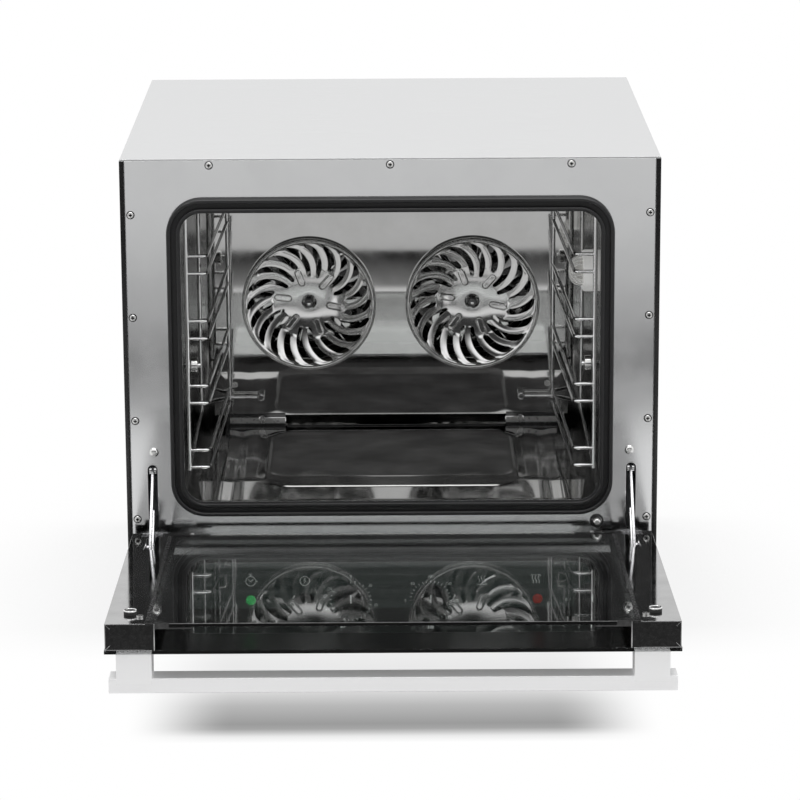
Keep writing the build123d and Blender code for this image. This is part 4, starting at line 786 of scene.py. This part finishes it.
# Black seals with a thin bright edge between the door's channels and its inner glass
seal_inner = 245.4 * MM
seal_outer = 249.6 * MM
seal_rise = 0.3 * MM
seals = bmesh.new()
seal_edges = bmesh.new()
for name, side in sides:
    near, far = sorted((side * seal_inner, side * seal_outer))
    add_box(
        seals,
        (near, inner_low.y + 4 * MM, inner_high.z),
        (far, inner_high.y - 4 * MM, inner_high.z + seal_rise),
        0.0,
        door_place,
    )
    near, far = sorted((side * seal_outer, side * (seal_outer + 0.6 * MM)))
    add_box(
        seal_edges,
        (near, inner_low.y + 2 * MM, inner_high.z),
        (far, inner_high.y - 2 * MM, inner_high.z + 1.4 * seal_rise),
        0.0,
        door_place,
    )
add_box(
    seal_edges,
    (-seal_inner, inner_low.y - 0.4 * MM, inner_high.z - 0.5 * MM),
    (seal_inner, inner_low.y, inner_high.z + 0.1 * MM),
    0.0,
    door_place,
)
finished("door_glass_seals", seals, "edge_black", "door")
finished("seal_edges", seal_edges, "bright_chrome", "door")

# Bright borders of the baffle's foot brackets and of the slot between them
baffle_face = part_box("fan_baffle")[0].y - 2.4 * MM
foot_spans = {"left": (-196.4 * MM, -128.9 * MM), "right": (139.5 * MM, 202.0 * MM)}
foot_bottom = 180.0 * MM
foot_top = 187.2 * MM
gap_bottom = 177.6 * MM
gap_top = 190.8 * MM
border = 0.9 * MM
border_rise = 0.6 * MM
washer_x = 157.5 * MM
washer_height = 185.4 * MM
washer_inner = 2.6 * MM
washer_outer = 4.4 * MM
borders = bmesh.new()
feet_faces = bmesh.new()
for name, side in sides:
    near, far = foot_spans[name]
    for height in (foot_bottom, foot_top):
        add_box(
            borders,
            (near, baffle_face - border_rise, height - border / 2),
            (far, baffle_face, height + border / 2),
        )
    for edge_x in (near, far):
        add_box(
            borders,
            (edge_x - border / 2, baffle_face - border_rise, foot_bottom),
            (edge_x + border / 2, baffle_face, foot_top),
        )
    add_box(feet_faces, (near, baffle_face - border_rise / 2, foot_bottom), (far, baffle_face, foot_top))
    washer = [
        (washer_inner, 0),
        (washer_outer, 0),
        (washer_outer - 0.2 * MM, 1.4 * MM),
        (washer_inner, 1.0 * MM),
        (washer_inner, 0),
    ]
    add_turned(borders, washer, facing_place(side * washer_x, washer_height, baffle_face))
for height in (gap_bottom, gap_top):
    add_box(
        borders,
        (foot_spans["left"][1] + 2 * MM, baffle_face - border_rise / 2, height - border / 4),
        (foot_spans["right"][0] - 2 * MM, baffle_face, height + border / 4),
    )
finished("bracket_borders", borders, "bright_chrome", "oven_body")
finished("bracket_faces", feet_faces, "bracket_steel", "oven_body")

# Nuts that hold the fans, with the threaded ends of their shafts
guard_hub_depth = 17 * MM
nut_radius = 6.4 * MM
nut_reach = 7.5 * MM
nut_chamfer = 0.8 * MM
thread_radius = 1.9 * MM
thread_reach = 10.5 * MM
for name, side in sides:
    hub = joints[f"fan_{name}_spin"]["pos_m"]
    hub_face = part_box(f"fan_guard_{name}")[0].y + guard_hub_depth
    nut = bmesh.new()
    nut_profile = [
        (0.0, nut_reach),
        (nut_radius - nut_chamfer, nut_reach),
        (nut_radius, nut_reach - nut_chamfer),
        (nut_radius, 0.0),
    ]
    add_turned(nut, nut_profile, facing_place(hub[0], hub[2], hub_face), steps=6)
    finished(f"shaft_nut_{name}", nut, "clip_steel", f"fan_{name}")
    thread = bmesh.new()
    thread_profile = [
        (0.0, thread_reach),
        (thread_radius, thread_reach - 0.4 * MM),
        (thread_radius, nut_reach - 1 * MM),
    ]
    add_turned(thread, thread_profile, facing_place(hub[0], hub[2], hub_face))
    finished(f"shaft_thread_{name}", thread, "bright_chrome", f"fan_{name}")

# Black strips down the front edges of the casing: painted shade along these edges
casing_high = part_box("casing_cover")[1]
frame_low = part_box("front_frame")[0]
strip_thickness = 0.8 * MM
strip_width = 5.4 * MM
strip_below_frame = 80 * MM
strip_below_top = 2 * MM
strips = bmesh.new()
for name, side in sides:
    edge = side * casing_high.x
    inner = edge - side * strip_width
    add_box(
        strips,
        (min(edge, inner), front - strip_thickness, frame_low.z - strip_below_frame),
        (max(edge, inner), front, casing_high.z - strip_below_top),
        0.3 * MM,
    )
finished("edge_shade_strips", strips, "edge_black", "oven_body")


def loose_boxes(name):
    """Lowest and highest corners of each separate shape in a node."""
    shape = bmesh.new()
    shape.from_mesh(nodes[name].data)
    left = set(shape.verts)
    boxes = []
    while left:
        ahead_of = [left.pop()]
        found = []
        while ahead_of:
            vertex = ahead_of.pop()
            found.append(vertex.co.copy())
            for edge in vertex.link_edges:
                other = edge.other_vert(vertex)
                if other in left:
                    left.remove(other)
                    ahead_of.append(other)
        low = Vector([min(corner[axis] for corner in found) for axis in range(3)])
        high = Vector([max(corner[axis] for corner in found) for axis in range(3)])
        boxes.append((low, high))
    shape.free()
    return boxes


# Cross recesses and dark countersinks of the screws on the oven's front, drawn in black as painted shade
recess_width = 1.0 * MM
recess_height = 0.1 * MM
countersink_width = 1.0 * MM
recesses = bmesh.new()
for low, high in loose_boxes("frame_screws"):
    radius = (high.x - low.x) / 2
    middle_x = (low.x + high.x) / 2
    middle_z = (low.z + high.z) / 2
    head = facing_place(middle_x, middle_z, low.y)
    reach = 0.55 * radius
    for across, along in ((reach, recess_width / 2), (recess_width / 2, reach)):
        add_box(recesses, (-across, -along, -recess_height), (across, along, recess_height / 2), 0.0, head)
    ring = [
        (radius, 0.0),
        (radius + countersink_width, 0.0),
        (radius + countersink_width, recess_height),
        (radius, recess_height),
        (radius, 0.0),
    ]
    add_turned(recesses, ring, facing_place(middle_x, middle_z))
finished("screw_recess_shade", recesses, "edge_black", "oven_body")

# Fan guards: dished discs whose strips between the slots are arched and slightly twisted
guard_slots = 20
guard_columns = 14
guard_rows = 90
guard_dish = 18 * MM
guard_hole = 9 * MM
guard_rim = 3.2 * MM
guard_rim_rise = 1.8 * MM
guard_sheet = 1.2 * MM
guard_return = 7.5 * MM
slot_inner = 31.5 * MM
short_slot_inner = 44.0 * MM
slot_outer = 75.2 * MM
slot_inner_half = 2.2 * MM
slot_outer_half = 6.2 * MM
slot_swirl = radians(21.0)
slot_bow = radians(5.0)
strip_arch = 0.35 * MM
strip_twist = 0.6 * MM
ribs = 6
first_rib = radians(50.0)
rib_inner = 22.0 * MM
rib_outer = 42.0 * MM
rib_half_width = 3.3 * MM
rib_rise = 1.1 * MM
rib_edge = 1.2 * MM


def from_rib(angle):
    """Angle from the nearest of the ribs pressed round the hub."""
    pitch = 2 * pi / ribs
    return (angle - first_rib + pitch / 2) % pitch - pitch / 2


def slot_start(number):
    """Radius at which a slot begins, farther out beside a rib."""
    beside = abs(from_rib(2 * pi * number / guard_slots)) * slot_inner < rib_half_width + slot_inner_half
    return short_slot_inner if beside else slot_inner


def rib_lift(radius, angle):
    """Rise of a rib pressed out of the hub, round at both ends."""
    along = radius * cos(from_rib(angle))
    across = radius * sin(from_rib(angle))
    past = max(rib_inner + rib_half_width - along, along - rib_outer + rib_half_width, 0.0)
    outside = sqrt(past * past + across * across) - rib_half_width
    return rib_rise * min(max(0.5 - outside / rib_edge, 0.0), 1.0)


def slot_half_width(radius, start):
    """Half the width of a slot at a radius, with round ends."""
    if not start < radius < slot_outer:
        return 0.0
    along = (radius - slot_inner) / (slot_outer - slot_inner)
    half = slot_inner_half + (slot_outer_half - slot_inner_half) * along
    from_end = min(radius - start, slot_outer - radius)
    if from_end < half:
        half = sqrt(half * half - (half - from_end) ** 2)
    return half


def slot_angle(radius):
    """Swirl of the slots' middle line at a radius."""
    along = (radius - slot_inner) / (slot_outer - slot_inner)
    along = min(max(along, -0.5), 1.2)
    return slot_swirl * along - 4 * slot_bow * along * (1 - along)


def guard_depth(radius, rim_inner):
    """Depth of the dish behind the rim's face at a radius."""
    across = (rim_inner - radius) / (rim_inner - guard_hole)
    return guard_dish * sin(min(max(across, 0.0), 1.0) * pi / 2) ** 0.9


def add_guard_sector(shape, number, rim_inner):
    """One strip of the guard with the hub and rim beside it, from a grid."""
    sector = bmesh.new()
    turn = 2 * pi * number / guard_slots
    bmesh.ops.create_grid(sector, x_segments=guard_columns, y_segments=guard_rows, size=1.0)
    half_pitch = pi / guard_slots
    for vertex in sector.verts:
        across, along = vertex.co.x, (vertex.co.y + 1) / 2
        radius = guard_hole + (rim_inner - guard_hole) * along
        low_half = slot_half_width(radius, slot_start(number))
        high_half = slot_half_width(radius, slot_start((number + 1) % guard_slots))
        low_edge = low_half / radius - half_pitch
        high_edge = half_pitch - high_half / radius
        angle = turn + half_pitch + slot_angle(radius) + low_edge + (high_edge - low_edge) * (across + 1) / 2
        openness = min(low_half, high_half) / slot_outer_half
        lift = (strip_arch * (1 - across * across) + strip_twist * across) * openness
        lift += rib_lift(radius, angle)
        depth = guard_depth(radius, rim_inner) - lift
        vertex.co = (radius * cos(angle), radius * sin(angle), -depth)
    add_shape(shape, sector, Matrix())


def formed_guard(name):
    """Guard made of strips, then its rolled rim, thickened and set in its node's place."""
    low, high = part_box(f"fan_guard_{name}")
    guard_radius = (high.x - low.x) / 2
    rim_inner = guard_radius - guard_rim
    shape = bmesh.new()
    for number in range(guard_slots):
        add_guard_sector(shape, number, rim_inner)
    bmesh.ops.remove_doubles(shape, verts=shape.verts[:], dist=0.02 * MM)
    bmesh.ops.solidify(shape, geom=shape.faces[:], thickness=guard_sheet)
    rolled = [
        (rim_inner - 0.4 * MM, 0.0),
        (rim_inner + 0.25 * guard_rim, 0.75 * guard_rim_rise),
        (rim_inner + 0.5 * guard_rim, guard_rim_rise),
        (rim_inner + 0.8 * guard_rim, 0.7 * guard_rim_rise),
        (guard_radius, -0.4 * guard_rim_rise),
        (guard_radius, -guard_return),
        (guard_radius - guard_sheet, -guard_return),
        (guard_radius - guard_sheet, -guard_sheet),
        (rim_inner + 0.5 * guard_rim, guard_rim_rise - guard_sheet),
        (rim_inner - 0.4 * MM, -guard_sheet),
        (rim_inner - 0.4 * MM, 0.0),
    ]
    add_turned(shape, rolled, Matrix(), steps=96)
    middle_x = (low.x + high.x) / 2
    middle_z = (low.z + high.z) / 2
    place = facing_place(middle_x, middle_z, low.y + guard_rim_rise)
    bmesh.ops.transform(shape, matrix=place, verts=shape.verts[:])
    piece = finished(f"formed_guard_{name}", shape, "guard_steel", "oven_body", 50.0)
    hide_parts(f"fan_guard_{name}")
    return piece


for name, side in sides:
    formed_guard(name)


# Pressed floor of the chamber: a raised middle with round shoulders and shallow troughs beside it
shell_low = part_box("chamber_shell")[0]
shell_sheet = 1.2 * MM
floor_top = shell_low.z + shell_sheet
floor_half_width = 231 * MM
floor_front = front + 6 * MM
floor_back = front + 366 * MM
press_half_width = 149 * MM
press_front = front + 96 * MM
press_back = front + 322 * MM
press_corner = 34 * MM
press_shoulder = 10.0 * MM
press_rise = 3.6 * MM
skin_base = 1.5 * MM
trough_x = 182 * MM
trough_width = 8 * MM
trough_depth = 1.2 * MM
lip_depth = 10 * MM
lip_rise = 0.4 * MM
apron_start = front + 20 * MM
apron_end = front + 88 * MM
apron_rise = 3.3 * MM
apron_fall = 26 * MM


def outside_press(x, y):
    """Distance outside the rounded rectangle of the raised middle, negative within it."""
    middle_y = (press_front + press_back) / 2
    across = abs(x) - press_half_width + press_corner
    along = abs(y - middle_y) - (press_back - press_front) / 2 + press_corner
    beyond = sqrt(max(across, 0.0) ** 2 + max(along, 0.0) ** 2)
    return beyond + min(max(across, along), 0.0) - press_corner


def eased(value):
    """Smooth step from 0 to 1."""
    value = min(max(value, 0.0), 1.0)
    return value * value * (3 - 2 * value)


def apron_height(y):
    """Height of the gentle rise from the mouth to the raised middle."""
    rising = min(max((y - apron_start) / (apron_end - apron_start), 0.0), 1.0)
    falling = eased((y - apron_end) / apron_fall)
    return apron_rise * (rising - falling)


skin = bmesh.new()
bmesh.ops.create_grid(skin, x_segments=154, y_segments=120, size=1.0)
for vertex in skin.verts:
    x = vertex.co.x * floor_half_width
    y = floor_front + (vertex.co.y + 1) / 2 * (floor_back - floor_front)
    raised = max(press_rise * eased(0.5 - outside_press(x, y) / (2 * press_shoulder)), apron_height(y))
    trough = trough_depth * exp(-(((abs(x) - trough_x) / trough_width) ** 2))
    lip = lip_rise * eased((y - floor_back + lip_depth) / lip_depth)
    vertex.co = (x, y, floor_top + skin_base + raised - trough + lip)
finished("pressed_floor", skin, "floor_steel", "oven_body", 60.0)

# Printed overlay on the control panel, with its marks
panel_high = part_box("control_panel")[1]
overlay_thickness = 0.15 * MM
overlay_half_width = 236 * MM
overlay_bottom = 48 * MM
overlay_top = panel_high.z - 1.5 * MM
plate(
    "panel_overlay",
    [((-overlay_half_width, overlay_bottom), (overlay_half_width, overlay_top), 4 * MM)],
    overlay_thickness,
    facing_place(0, 0),
    "panel_print",
    "oven_body",
)
mark_place = facing_place(0, 0, front - overlay_thickness)
mark_thickness = 0.08 * MM
stroke_width = 0.75 * MM
tick_inner = 21.5 * MM
tick_outer = 24.0 * MM
tick_width = 0.6 * MM
digits_radius = 28.5 * MM
digits_size = 4.6 * MM
wave_height = 8 * MM
wave_sway = 0.9 * MM
wave_gap = 3.4 * MM
bar_half_width = 6 * MM
marks = bmesh.new()


def mark_line(start, end, width=stroke_width):
    """Straight stroke between two places on the panel, each (across, height)."""
    run = Vector((end[0] - start[0], end[1] - start[1], 0.0))
    turn = Vector((1, 0, 0)).rotation_difference(run).to_matrix().to_4x4()
    place = mark_place @ Matrix.Translation((start[0], start[1], 0.0)) @ turn
    add_box(marks, (0, -width / 2, 0), (run.length, width / 2, mark_thickness), 0.0, place)


def mark_path(points):
    """Stroke through several places on the panel."""
    for start, end in zip(points, points[1:]):
        mark_line(start, end)


def mark_ring(centre, radius):
    """Ring-shaped stroke."""
    inner = radius - stroke_width / 2
    outer = radius + stroke_width / 2
    profile = [(inner, 0), (outer, 0), (outer, mark_thickness), (inner, mark_thickness), (inner, 0)]
    add_turned(marks, profile, mark_place @ Matrix.Translation((centre[0], centre[1], 0)), steps=40)


def mark_text(words, centre, size):
    """Digits centred on a place on the panel."""
    curve = bpy.data.curves.new("digits", "FONT")
    curve.body = words
    curve.size = size
    curve.align_x = "CENTER"
    curve.align_y = "CENTER"
    curve.extrude = mark_thickness / 2
    letters = bpy.data.objects.new("digits", curve)
    mesh = bpy.data.meshes.new_from_object(letters)
    written = bmesh.new()
    written.from_mesh(mesh)
    add_shape(marks, written, mark_place @ Matrix.Translation((centre[0], centre[1], mark_thickness / 2)))
    bpy.data.objects.remove(letters)
    bpy.data.curves.remove(curve)
    bpy.data.meshes.remove(mesh)


def around(centre, radius, angle):
    """Place at a clockwise angle from straight up, round a dial."""
    return (centre[0] + radius * sin(radians(angle)), centre[1] + radius * cos(radians(angle)))


def mark_scale(centre, labels, first, last, ticks):
    """Ring of ticks and digits round a dial."""
    for number in range(ticks):
        angle = first + (last - first) * number / (ticks - 1)
        mark_line(around(centre, tick_inner, angle), around(centre, tick_outer, angle), tick_width)
    for number, words in enumerate(labels):
        angle = first + (last - first) * number / (len(labels) - 1)
        mark_text(words, around(centre, digits_radius, angle), digits_size)


def mark_heat(centre, bar_height):
    """Three rising waves with a bar above or below."""
    for column in (-1, 0, 1):
        points = []
        for step in range(9):
            height = wave_height * (step / 8 - 0.5)
            sway = wave_sway * sin(2 * pi * step / 8)
            points.append((centre[0] + column * wave_gap + sway, centre[1] + height))
        mark_path(points)
    bar_level = centre[1] + bar_height
    mark_line((centre[0] - bar_half_width, bar_level), (centre[0] + bar_half_width, bar_level))


def knob_centre(name):
    """Middle of a dial on the panel."""
    low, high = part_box(name)
    return ((low.x + high.x) / 2, (low.z + high.z) / 2)


icon_height = 80 * MM
pilot_x = {
    name: sum(corner.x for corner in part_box(f"pilot_lamp_{name}")) / 2 for name in ("green", "red")
}
timer_x = pilot_x["green"]
watch_radius = 5.6 * MM
crown_top = icon_height + 8.4 * MM
crown_half = 1.8 * MM
hand_across = 3.0 * MM
hand_end = icon_height + 2.2 * MM
mark_ring((timer_x, icon_height), watch_radius)
mark_line((timer_x, icon_height + watch_radius), (timer_x, crown_top))
mark_line((timer_x - crown_half, crown_top), (timer_x + crown_half, crown_top))
mark_path(
    [
        (timer_x - hand_across, hand_end),
        (timer_x, icon_height - 0.6 * MM),
        (timer_x + hand_across, hand_end),
    ]
)
for side in (-1, 1):
    lug = timer_x + side * watch_radius
    mark_line((lug, icon_height), (lug + side * 2 * MM, icon_height))
button_x = sum(corner.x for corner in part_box("push_button")) / 2
mark_ring((button_x, icon_height), 5.4 * MM)
mark_path(
    [
        (button_x + 1.2 * MM, icon_height + 3.4 * MM),
        (button_x - 1.6 * MM, icon_height),
        (button_x + 1.4 * MM, icon_height),
        (button_x - 1.2 * MM, icon_height - 3.4 * MM),
    ]
)
mark_heat((101 * MM, icon_height + 1 * MM), -6 * MM)
mark_heat((pilot_x["red"] - 2 * MM, icon_height), 5.6 * MM)
minutes = [str(20 * number) for number in range(7)]
degrees = [str(50 * number) for number in range(7)]
settings = [str(number) for number in range(4)]
mark_scale(knob_centre("timer_knob"), minutes, 0.0, 300.0, 25)
mark_scale(knob_centre("thermostat_knob"), degrees, -90.0, 180.0, 25)
mark_scale(knob_centre("selector_knob"), settings, -90.0, 180.0, 4)
finished("panel_marks", marks, "white_print", "oven_body")


# Dials: a skirt, a fluted grip and a white pointer
knob_flutes = 20


def fluted_knob(name, body):
    """Fluted dial in the place of its node."""
    low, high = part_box(name)
    skirt_radius = (high.x - low.x) / 2
    grip_radius = 15.5 * MM
    length = front - low.y
    gap = 0.3 * MM
    centre = knob_centre(name)
    shape = bmesh.new()
    profile = [
        (0.0, length - 1.6 * MM),
        (grip_radius - 5.5 * MM, length - 1.4 * MM),
        (grip_radius - 4.5 * MM, length - 0.2 * MM),
        (grip_radius - 3.4 * MM, length),
        (grip_radius - 2.4 * MM, length - 0.5 * MM),
        (grip_radius - 1.8 * MM, length - 1.8 * MM),
        (grip_radius - 0.9 * MM, 0.5 * length),
        (grip_radius, 4.6 * MM),
        (grip_radius + 0.8 * MM, 3.8 * MM),
        (skirt_radius - 1.2 * MM, 3.2 * MM),
        (skirt_radius, 2.2 * MM),
        (skirt_radius, gap),
        (0.0, gap),
    ]
    add_turned(shape, profile, Matrix(), steps=knob_flutes * 8)
    for vertex in shape.verts:
        reach = sqrt(vertex.co.x**2 + vertex.co.y**2)
        if 5 * MM < vertex.co.z < length - 1 * MM and reach > grip_radius - 3 * MM:
            turn = atan2(vertex.co.y, vertex.co.x)
            shrink = 1 - 0.055 * (0.5 + 0.5 * cos(knob_flutes * turn)) ** 3
            vertex.co.x *= shrink
            vertex.co.y *= shrink
    bmesh.ops.transform(shape, matrix=facing_place(*centre), verts=shape.verts[:])
    dial = finished(f"fluted_{name}", shape, "knob_black", body, 40.0)
    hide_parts(name)
    pointer = bmesh.new()
    place = facing_place(centre[0], centre[1], front - length)
    add_box(pointer, (-0.8 * MM, 3 * MM, -1.9 * MM), (0.8 * MM, 12.3 * MM, 0.12 * MM), 0.1 * MM, place)
    finished(f"pointer_{name}", pointer, "white_print", body)


for dial, body in (("timer", "timer_dial"), ("thermostat", "thermostat_dial"), ("selector", "selector_dial")):
    fluted_knob(f"{dial}_knob", body)


# Ribbed dome of the oven lamp and the turned collar round it
dome_low, dome_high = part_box("lamp_glass")
dome_radius = (dome_high.y - dome_low.y) / 2
collar_low, collar_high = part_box("lamp_collar")
collar_radius = (collar_high.y - collar_low.y) / 2
collar_reach = 12.5 * MM
collar_round = 2.5 * MM
collar = bmesh.new()
collar_profile = [
    (dome_radius + 0.4 * MM, 0.0),
    (dome_radius + 0.4 * MM, collar_reach - 0.6 * MM),
    (dome_radius + 1.2 * MM, collar_reach),
    (collar_radius - collar_round, collar_reach),
    (collar_radius - 0.3 * collar_round, collar_reach - 0.3 * collar_round),
    (collar_radius, collar_reach - collar_round),
    (collar_radius, 0.0),
    (dome_radius + 0.4 * MM, 0.0),
]
collar_place = Matrix.Translation(
    (collar_high.x, (collar_low.y + collar_high.y) / 2, (collar_low.z + collar_high.z) / 2)
) @ Matrix.Rotation(radians(-90.0), 4, "Y")
add_turned(collar, collar_profile, collar_place, steps=64)
turned_collar = finished("turned_lamp_collar", collar, "lamp_satin", "oven_body")
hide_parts("lamp_collar")
dome_reach = dome_high.x - dome_low.x
dome_ribs = 14
dome = bmesh.new()
dome_profile = [
    (dome_radius, 0.0),
    (dome_radius, 0.45 * dome_reach),
    (0.95 * dome_radius, 0.66 * dome_reach),
    (0.8 * dome_radius, 0.84 * dome_reach),
    (0.5 * dome_radius, 0.96 * dome_reach),
    (0.001 * MM, dome_reach),
]
dome_wall = 2.2 * MM
inner_profile = [
    (max(radius - dome_wall, 0.0), max(height - dome_wall, 0.0)) for radius, height in reversed(dome_profile)
]
inner_profile[-1] = (dome_radius - dome_wall, 0.0)
add_turned(dome, dome_profile + inner_profile[1:] + [dome_profile[0]], Matrix(), steps=dome_ribs * 6)
for vertex in dome.verts:
    turn = atan2(vertex.co.y, vertex.co.x)
    swell = 1 - 0.09 * abs(sin(dome_ribs * turn / 2))
    vertex.co.x *= swell
    vertex.co.y *= swell
dome_place = (
    Matrix.Translation((dome_high.x, (dome_low.y + dome_high.y) / 2, (dome_low.z + dome_high.z) / 2))
    @ Matrix.Rotation(radians(-90.0), 4, "Y")
)
bmesh.ops.transform(dome, matrix=dome_place, verts=dome.verts[:])
ribbed = finished("ribbed_lamp_dome", dome, "lamp_dome", "oven_body", 18.0)
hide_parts("lamp_glass")


# Studio: white to the camera, a dark room with white cards to the metal, soft light from above
world = bpy.data.worlds.new("studio")
scene.world = world
world.use_nodes = True
sky = world.node_tree
sky.nodes.clear()
direction = add(sky, "SeparateXYZ", {0: add(sky, "TexCoord").outputs["Generated"]})


def soft_edge(tree, value, dark, bright):
    """Smooth step of a value from a dark limit to a bright one."""
    made = add(
        tree,
        "MapRange",
        {"Value": value, "From Min": dark, "From Max": bright},
        interpolation_type="SMOOTHSTEP",
    )
    return made.outputs["Result"]


def worked(tree, operation, *values):
    """Result of a calculation on one or two values."""
    return add(tree, "Math", dict(enumerate(values)), operation=operation).outputs[0]


back_wall = soft_edge(sky, direction.outputs["Y"], -0.12, 0.05)
softbox = soft_edge(sky, direction.outputs["Z"], 0.245, 0.42)
side_wall = soft_edge(sky, worked(sky, "ABSOLUTE", direction.outputs["X"]), 0.45, 0.75)
card = worked(sky, "MAXIMUM", worked(sky, "MAXIMUM", back_wall, softbox), side_wall)
room = ramp(sky, card, [(0.0, (0.035,) * 3), (1.0, (0.95,) * 3)])
path = add(sky, "LightPath")
shown = worked(sky, "MAXIMUM", path.outputs["Is Camera Ray"], path.outputs["Is Transmission Ray"])
white = add(sky, "Background", {"Color": (1.0, 1.0, 1.0, 1.0), "Strength": 1.0})
mirrored = add(sky, "Background", {"Color": room, "Strength": 1.0})
fill = add(sky, "Background", {"Color": (1.0, 1.0, 1.0, 1.0), "Strength": 0.55})
unseen = add(sky, "MixShader", {0: path.outputs["Is Glossy Ray"], 1: fill.outputs[0], 2: mirrored.outputs[0]})
mixed = add(sky, "MixShader", {0: shown, 1: unseen.outputs[0], 2: white.outputs[0]})
sky_out = sky.nodes.new("ShaderNodeOutputWorld")
sky.links.new(mixed.outputs[0], sky_out.inputs["Surface"])

lamp_data = bpy.data.lights.new("overhead_light", "AREA")
lamp_data.shape = "RECTANGLE"
lamp_data.size = 2.4
lamp_data.size_y = 1.6
lamp_data.energy = 32.0
lamp = bpy.data.objects.new("overhead_light", lamp_data)
scene.collection.objects.link(lamp)
lamp.location = (0.0, front - 0.2, 2.4)

# Floor: white to the camera with the oven's shadow, banded cards to the metal that mirrors it
floor_mesh = bpy.data.meshes.new("studio_floor")
floor_mesh.from_pydata([(-8, -8, 0), (8, -8, 0), (8, 8, 0), (-8, 8, 0)], [], [(0, 1, 2, 3)])
floor = bpy.data.objects.new("studio_floor", floor_mesh)
scene.collection.objects.link(floor)
floor_material, floor_tree, floor_output = blank("studio floor")
floor_path = add(floor_tree, "LightPath")
floor_through = worked(
    floor_tree, "MAXIMUM", floor_path.outputs["Is Glossy Ray"], floor_path.outputs["Is Transmission Ray"]
)
shade = add(floor_tree, "AmbientOcclusion", {"Distance": 0.45}, samples=8)
shade_stops = ((0.0, 0.01), (0.5, 0.03), (0.7, 0.3), (0.85, 0.85), (0.95, 1.0))
shade_colour = ramp(floor_tree, shade.outputs["AO"], [(place, (level,) * 3) for place, level in shade_stops])
floor_place = add(floor_tree, "SeparateXYZ", {0: add(floor_tree, "NewGeometry").outputs["Position"]})
bands_reach = 0.4
near_ahead = add(
    floor_tree,
    "MapRange",
    {"Value": floor_place.outputs["Y"], "From Min": front, "From Max": front - bands_reach},
)
shadow_bands = (
    (0.0, 0.15),
    (0.08, 0.2),
    (0.136, 0.32),
    (0.18, 0.52),
    (0.24, 0.67),
    (0.256, 0.62),
    (0.268, 0.42),
    (0.28, 0.17),
    (0.3, 0.0),
)
shadow_ahead = ramp(
    floor_tree,
    near_ahead.outputs["Result"],
    [(reach / bands_reach, (level,) * 3) for reach, level in shadow_bands],
)
floor_across = worked(floor_tree, "ABSOLUTE", floor_place.outputs["X"])
shadow_width = soft_edge(floor_tree, floor_across, 0.29, 0.17)
behind = add(
    floor_tree,
    "MapRange",
    {"Value": floor_place.outputs["Y"], "From Min": front - 0.02, "From Max": front + 0.1, "To Max": 0.1},
)
under_door = worked(floor_tree, "MULTIPLY", shadow_ahead, shadow_width)
shadow_strength = worked(floor_tree, "MAXIMUM", under_door, behind.outputs[0])
covered = add(floor_tree, "MapRange", {"Value": shade.outputs["AO"], "From Min": 0.79, "From Max": 0.63})
shadow_depth = worked(floor_tree, "MULTIPLY", shadow_strength, covered.outputs[0])
seen_shade = ramp(floor_tree, shadow_depth, [(0.0, (1.0,) * 3), (1.0, (0.0,) * 3)])
floor_light = add(floor_tree, "Emission", {"Color": seen_shade, "Strength": 1.0})
cards_reach = 4.0
ahead = add(
    floor_tree,
    "MapRange",
    {"Value": floor_place.outputs["Y"], "From Min": front, "From Max": front - cards_reach},
)
floor_bands = (
    (0.0, 0.9),
    (1.06, 0.9),
    (1.09, 0.17),
    (1.16, 0.17),
    (1.17, 0.69),
    (1.24, 0.69),
    (1.27, 0.21),
    (1.5, 0.03),
    (1.55, 0.03),
    (1.57, 0.5),
    (2.1, 0.5),
    (2.4, 0.7),
)
floor_cards = ramp(
    floor_tree,
    ahead.outputs["Result"],
    [(reach / cards_reach, (level,) * 3) for reach, level in floor_bands],
)
shaded_cards = multiplied(floor_tree, floor_cards, shade_colour)
# Painted shade: the floor seen through glass is dimmed to three tenths
floor_level = add(
    floor_tree, "MapRange", {"Value": floor_path.outputs["Is Transmission Ray"], "To Min": 1.0, "To Max": 0.3}
)
floor_mirrored = add(
    floor_tree, "Emission", {"Color": shaded_cards, "Strength": floor_level.outputs["Result"]}
)
floor_matt = add(floor_tree, "BsdfDiffuse", {"Color": (0.85, 0.85, 0.85, 1.0)})
floor_unseen = add(
    floor_tree, "MixShader", {0: floor_through, 1: floor_matt.outputs[0], 2: floor_mirrored.outputs[0]}
)
floor_mix = add(
    floor_tree,
    "MixShader",
    {0: floor_path.outputs["Is Camera Ray"], 1: floor_unseen.outputs[0], 2: floor_light.outputs[0]},
)
floor_tree.links.new(floor_mix.outputs[0], floor_output.inputs["Surface"])
floor.data.materials.append(floor_material)

# Camera in the place from which the oven was photographed
camera_distance = 3814.0 * MM
camera_height = 1251.0 * MM
camera_aside = -2.9 * MM
camera_tilt = 14.05
camera_roll = -0.33
camera_data = bpy.data.cameras.new("photo_camera")
camera_data.sensor_width = 36.0
camera_data.lens = 158.67
camera_data.shift_x = 0.014
camera_data.clip_start = 0.1
camera_data.clip_end = 50.0
camera = bpy.data.objects.new("photo_camera", camera_data)
scene.collection.objects.link(camera)
camera.matrix_world = (
    Matrix.Translation((camera_aside, front - camera_distance, camera_height))
    @ Matrix.Rotation(radians(90.0 - camera_tilt), 4, "X")
    @ Matrix.Rotation(radians(camera_roll), 4, "Z")
)
scene.camera = camera

scene.view_settings.view_transform = "Standard"
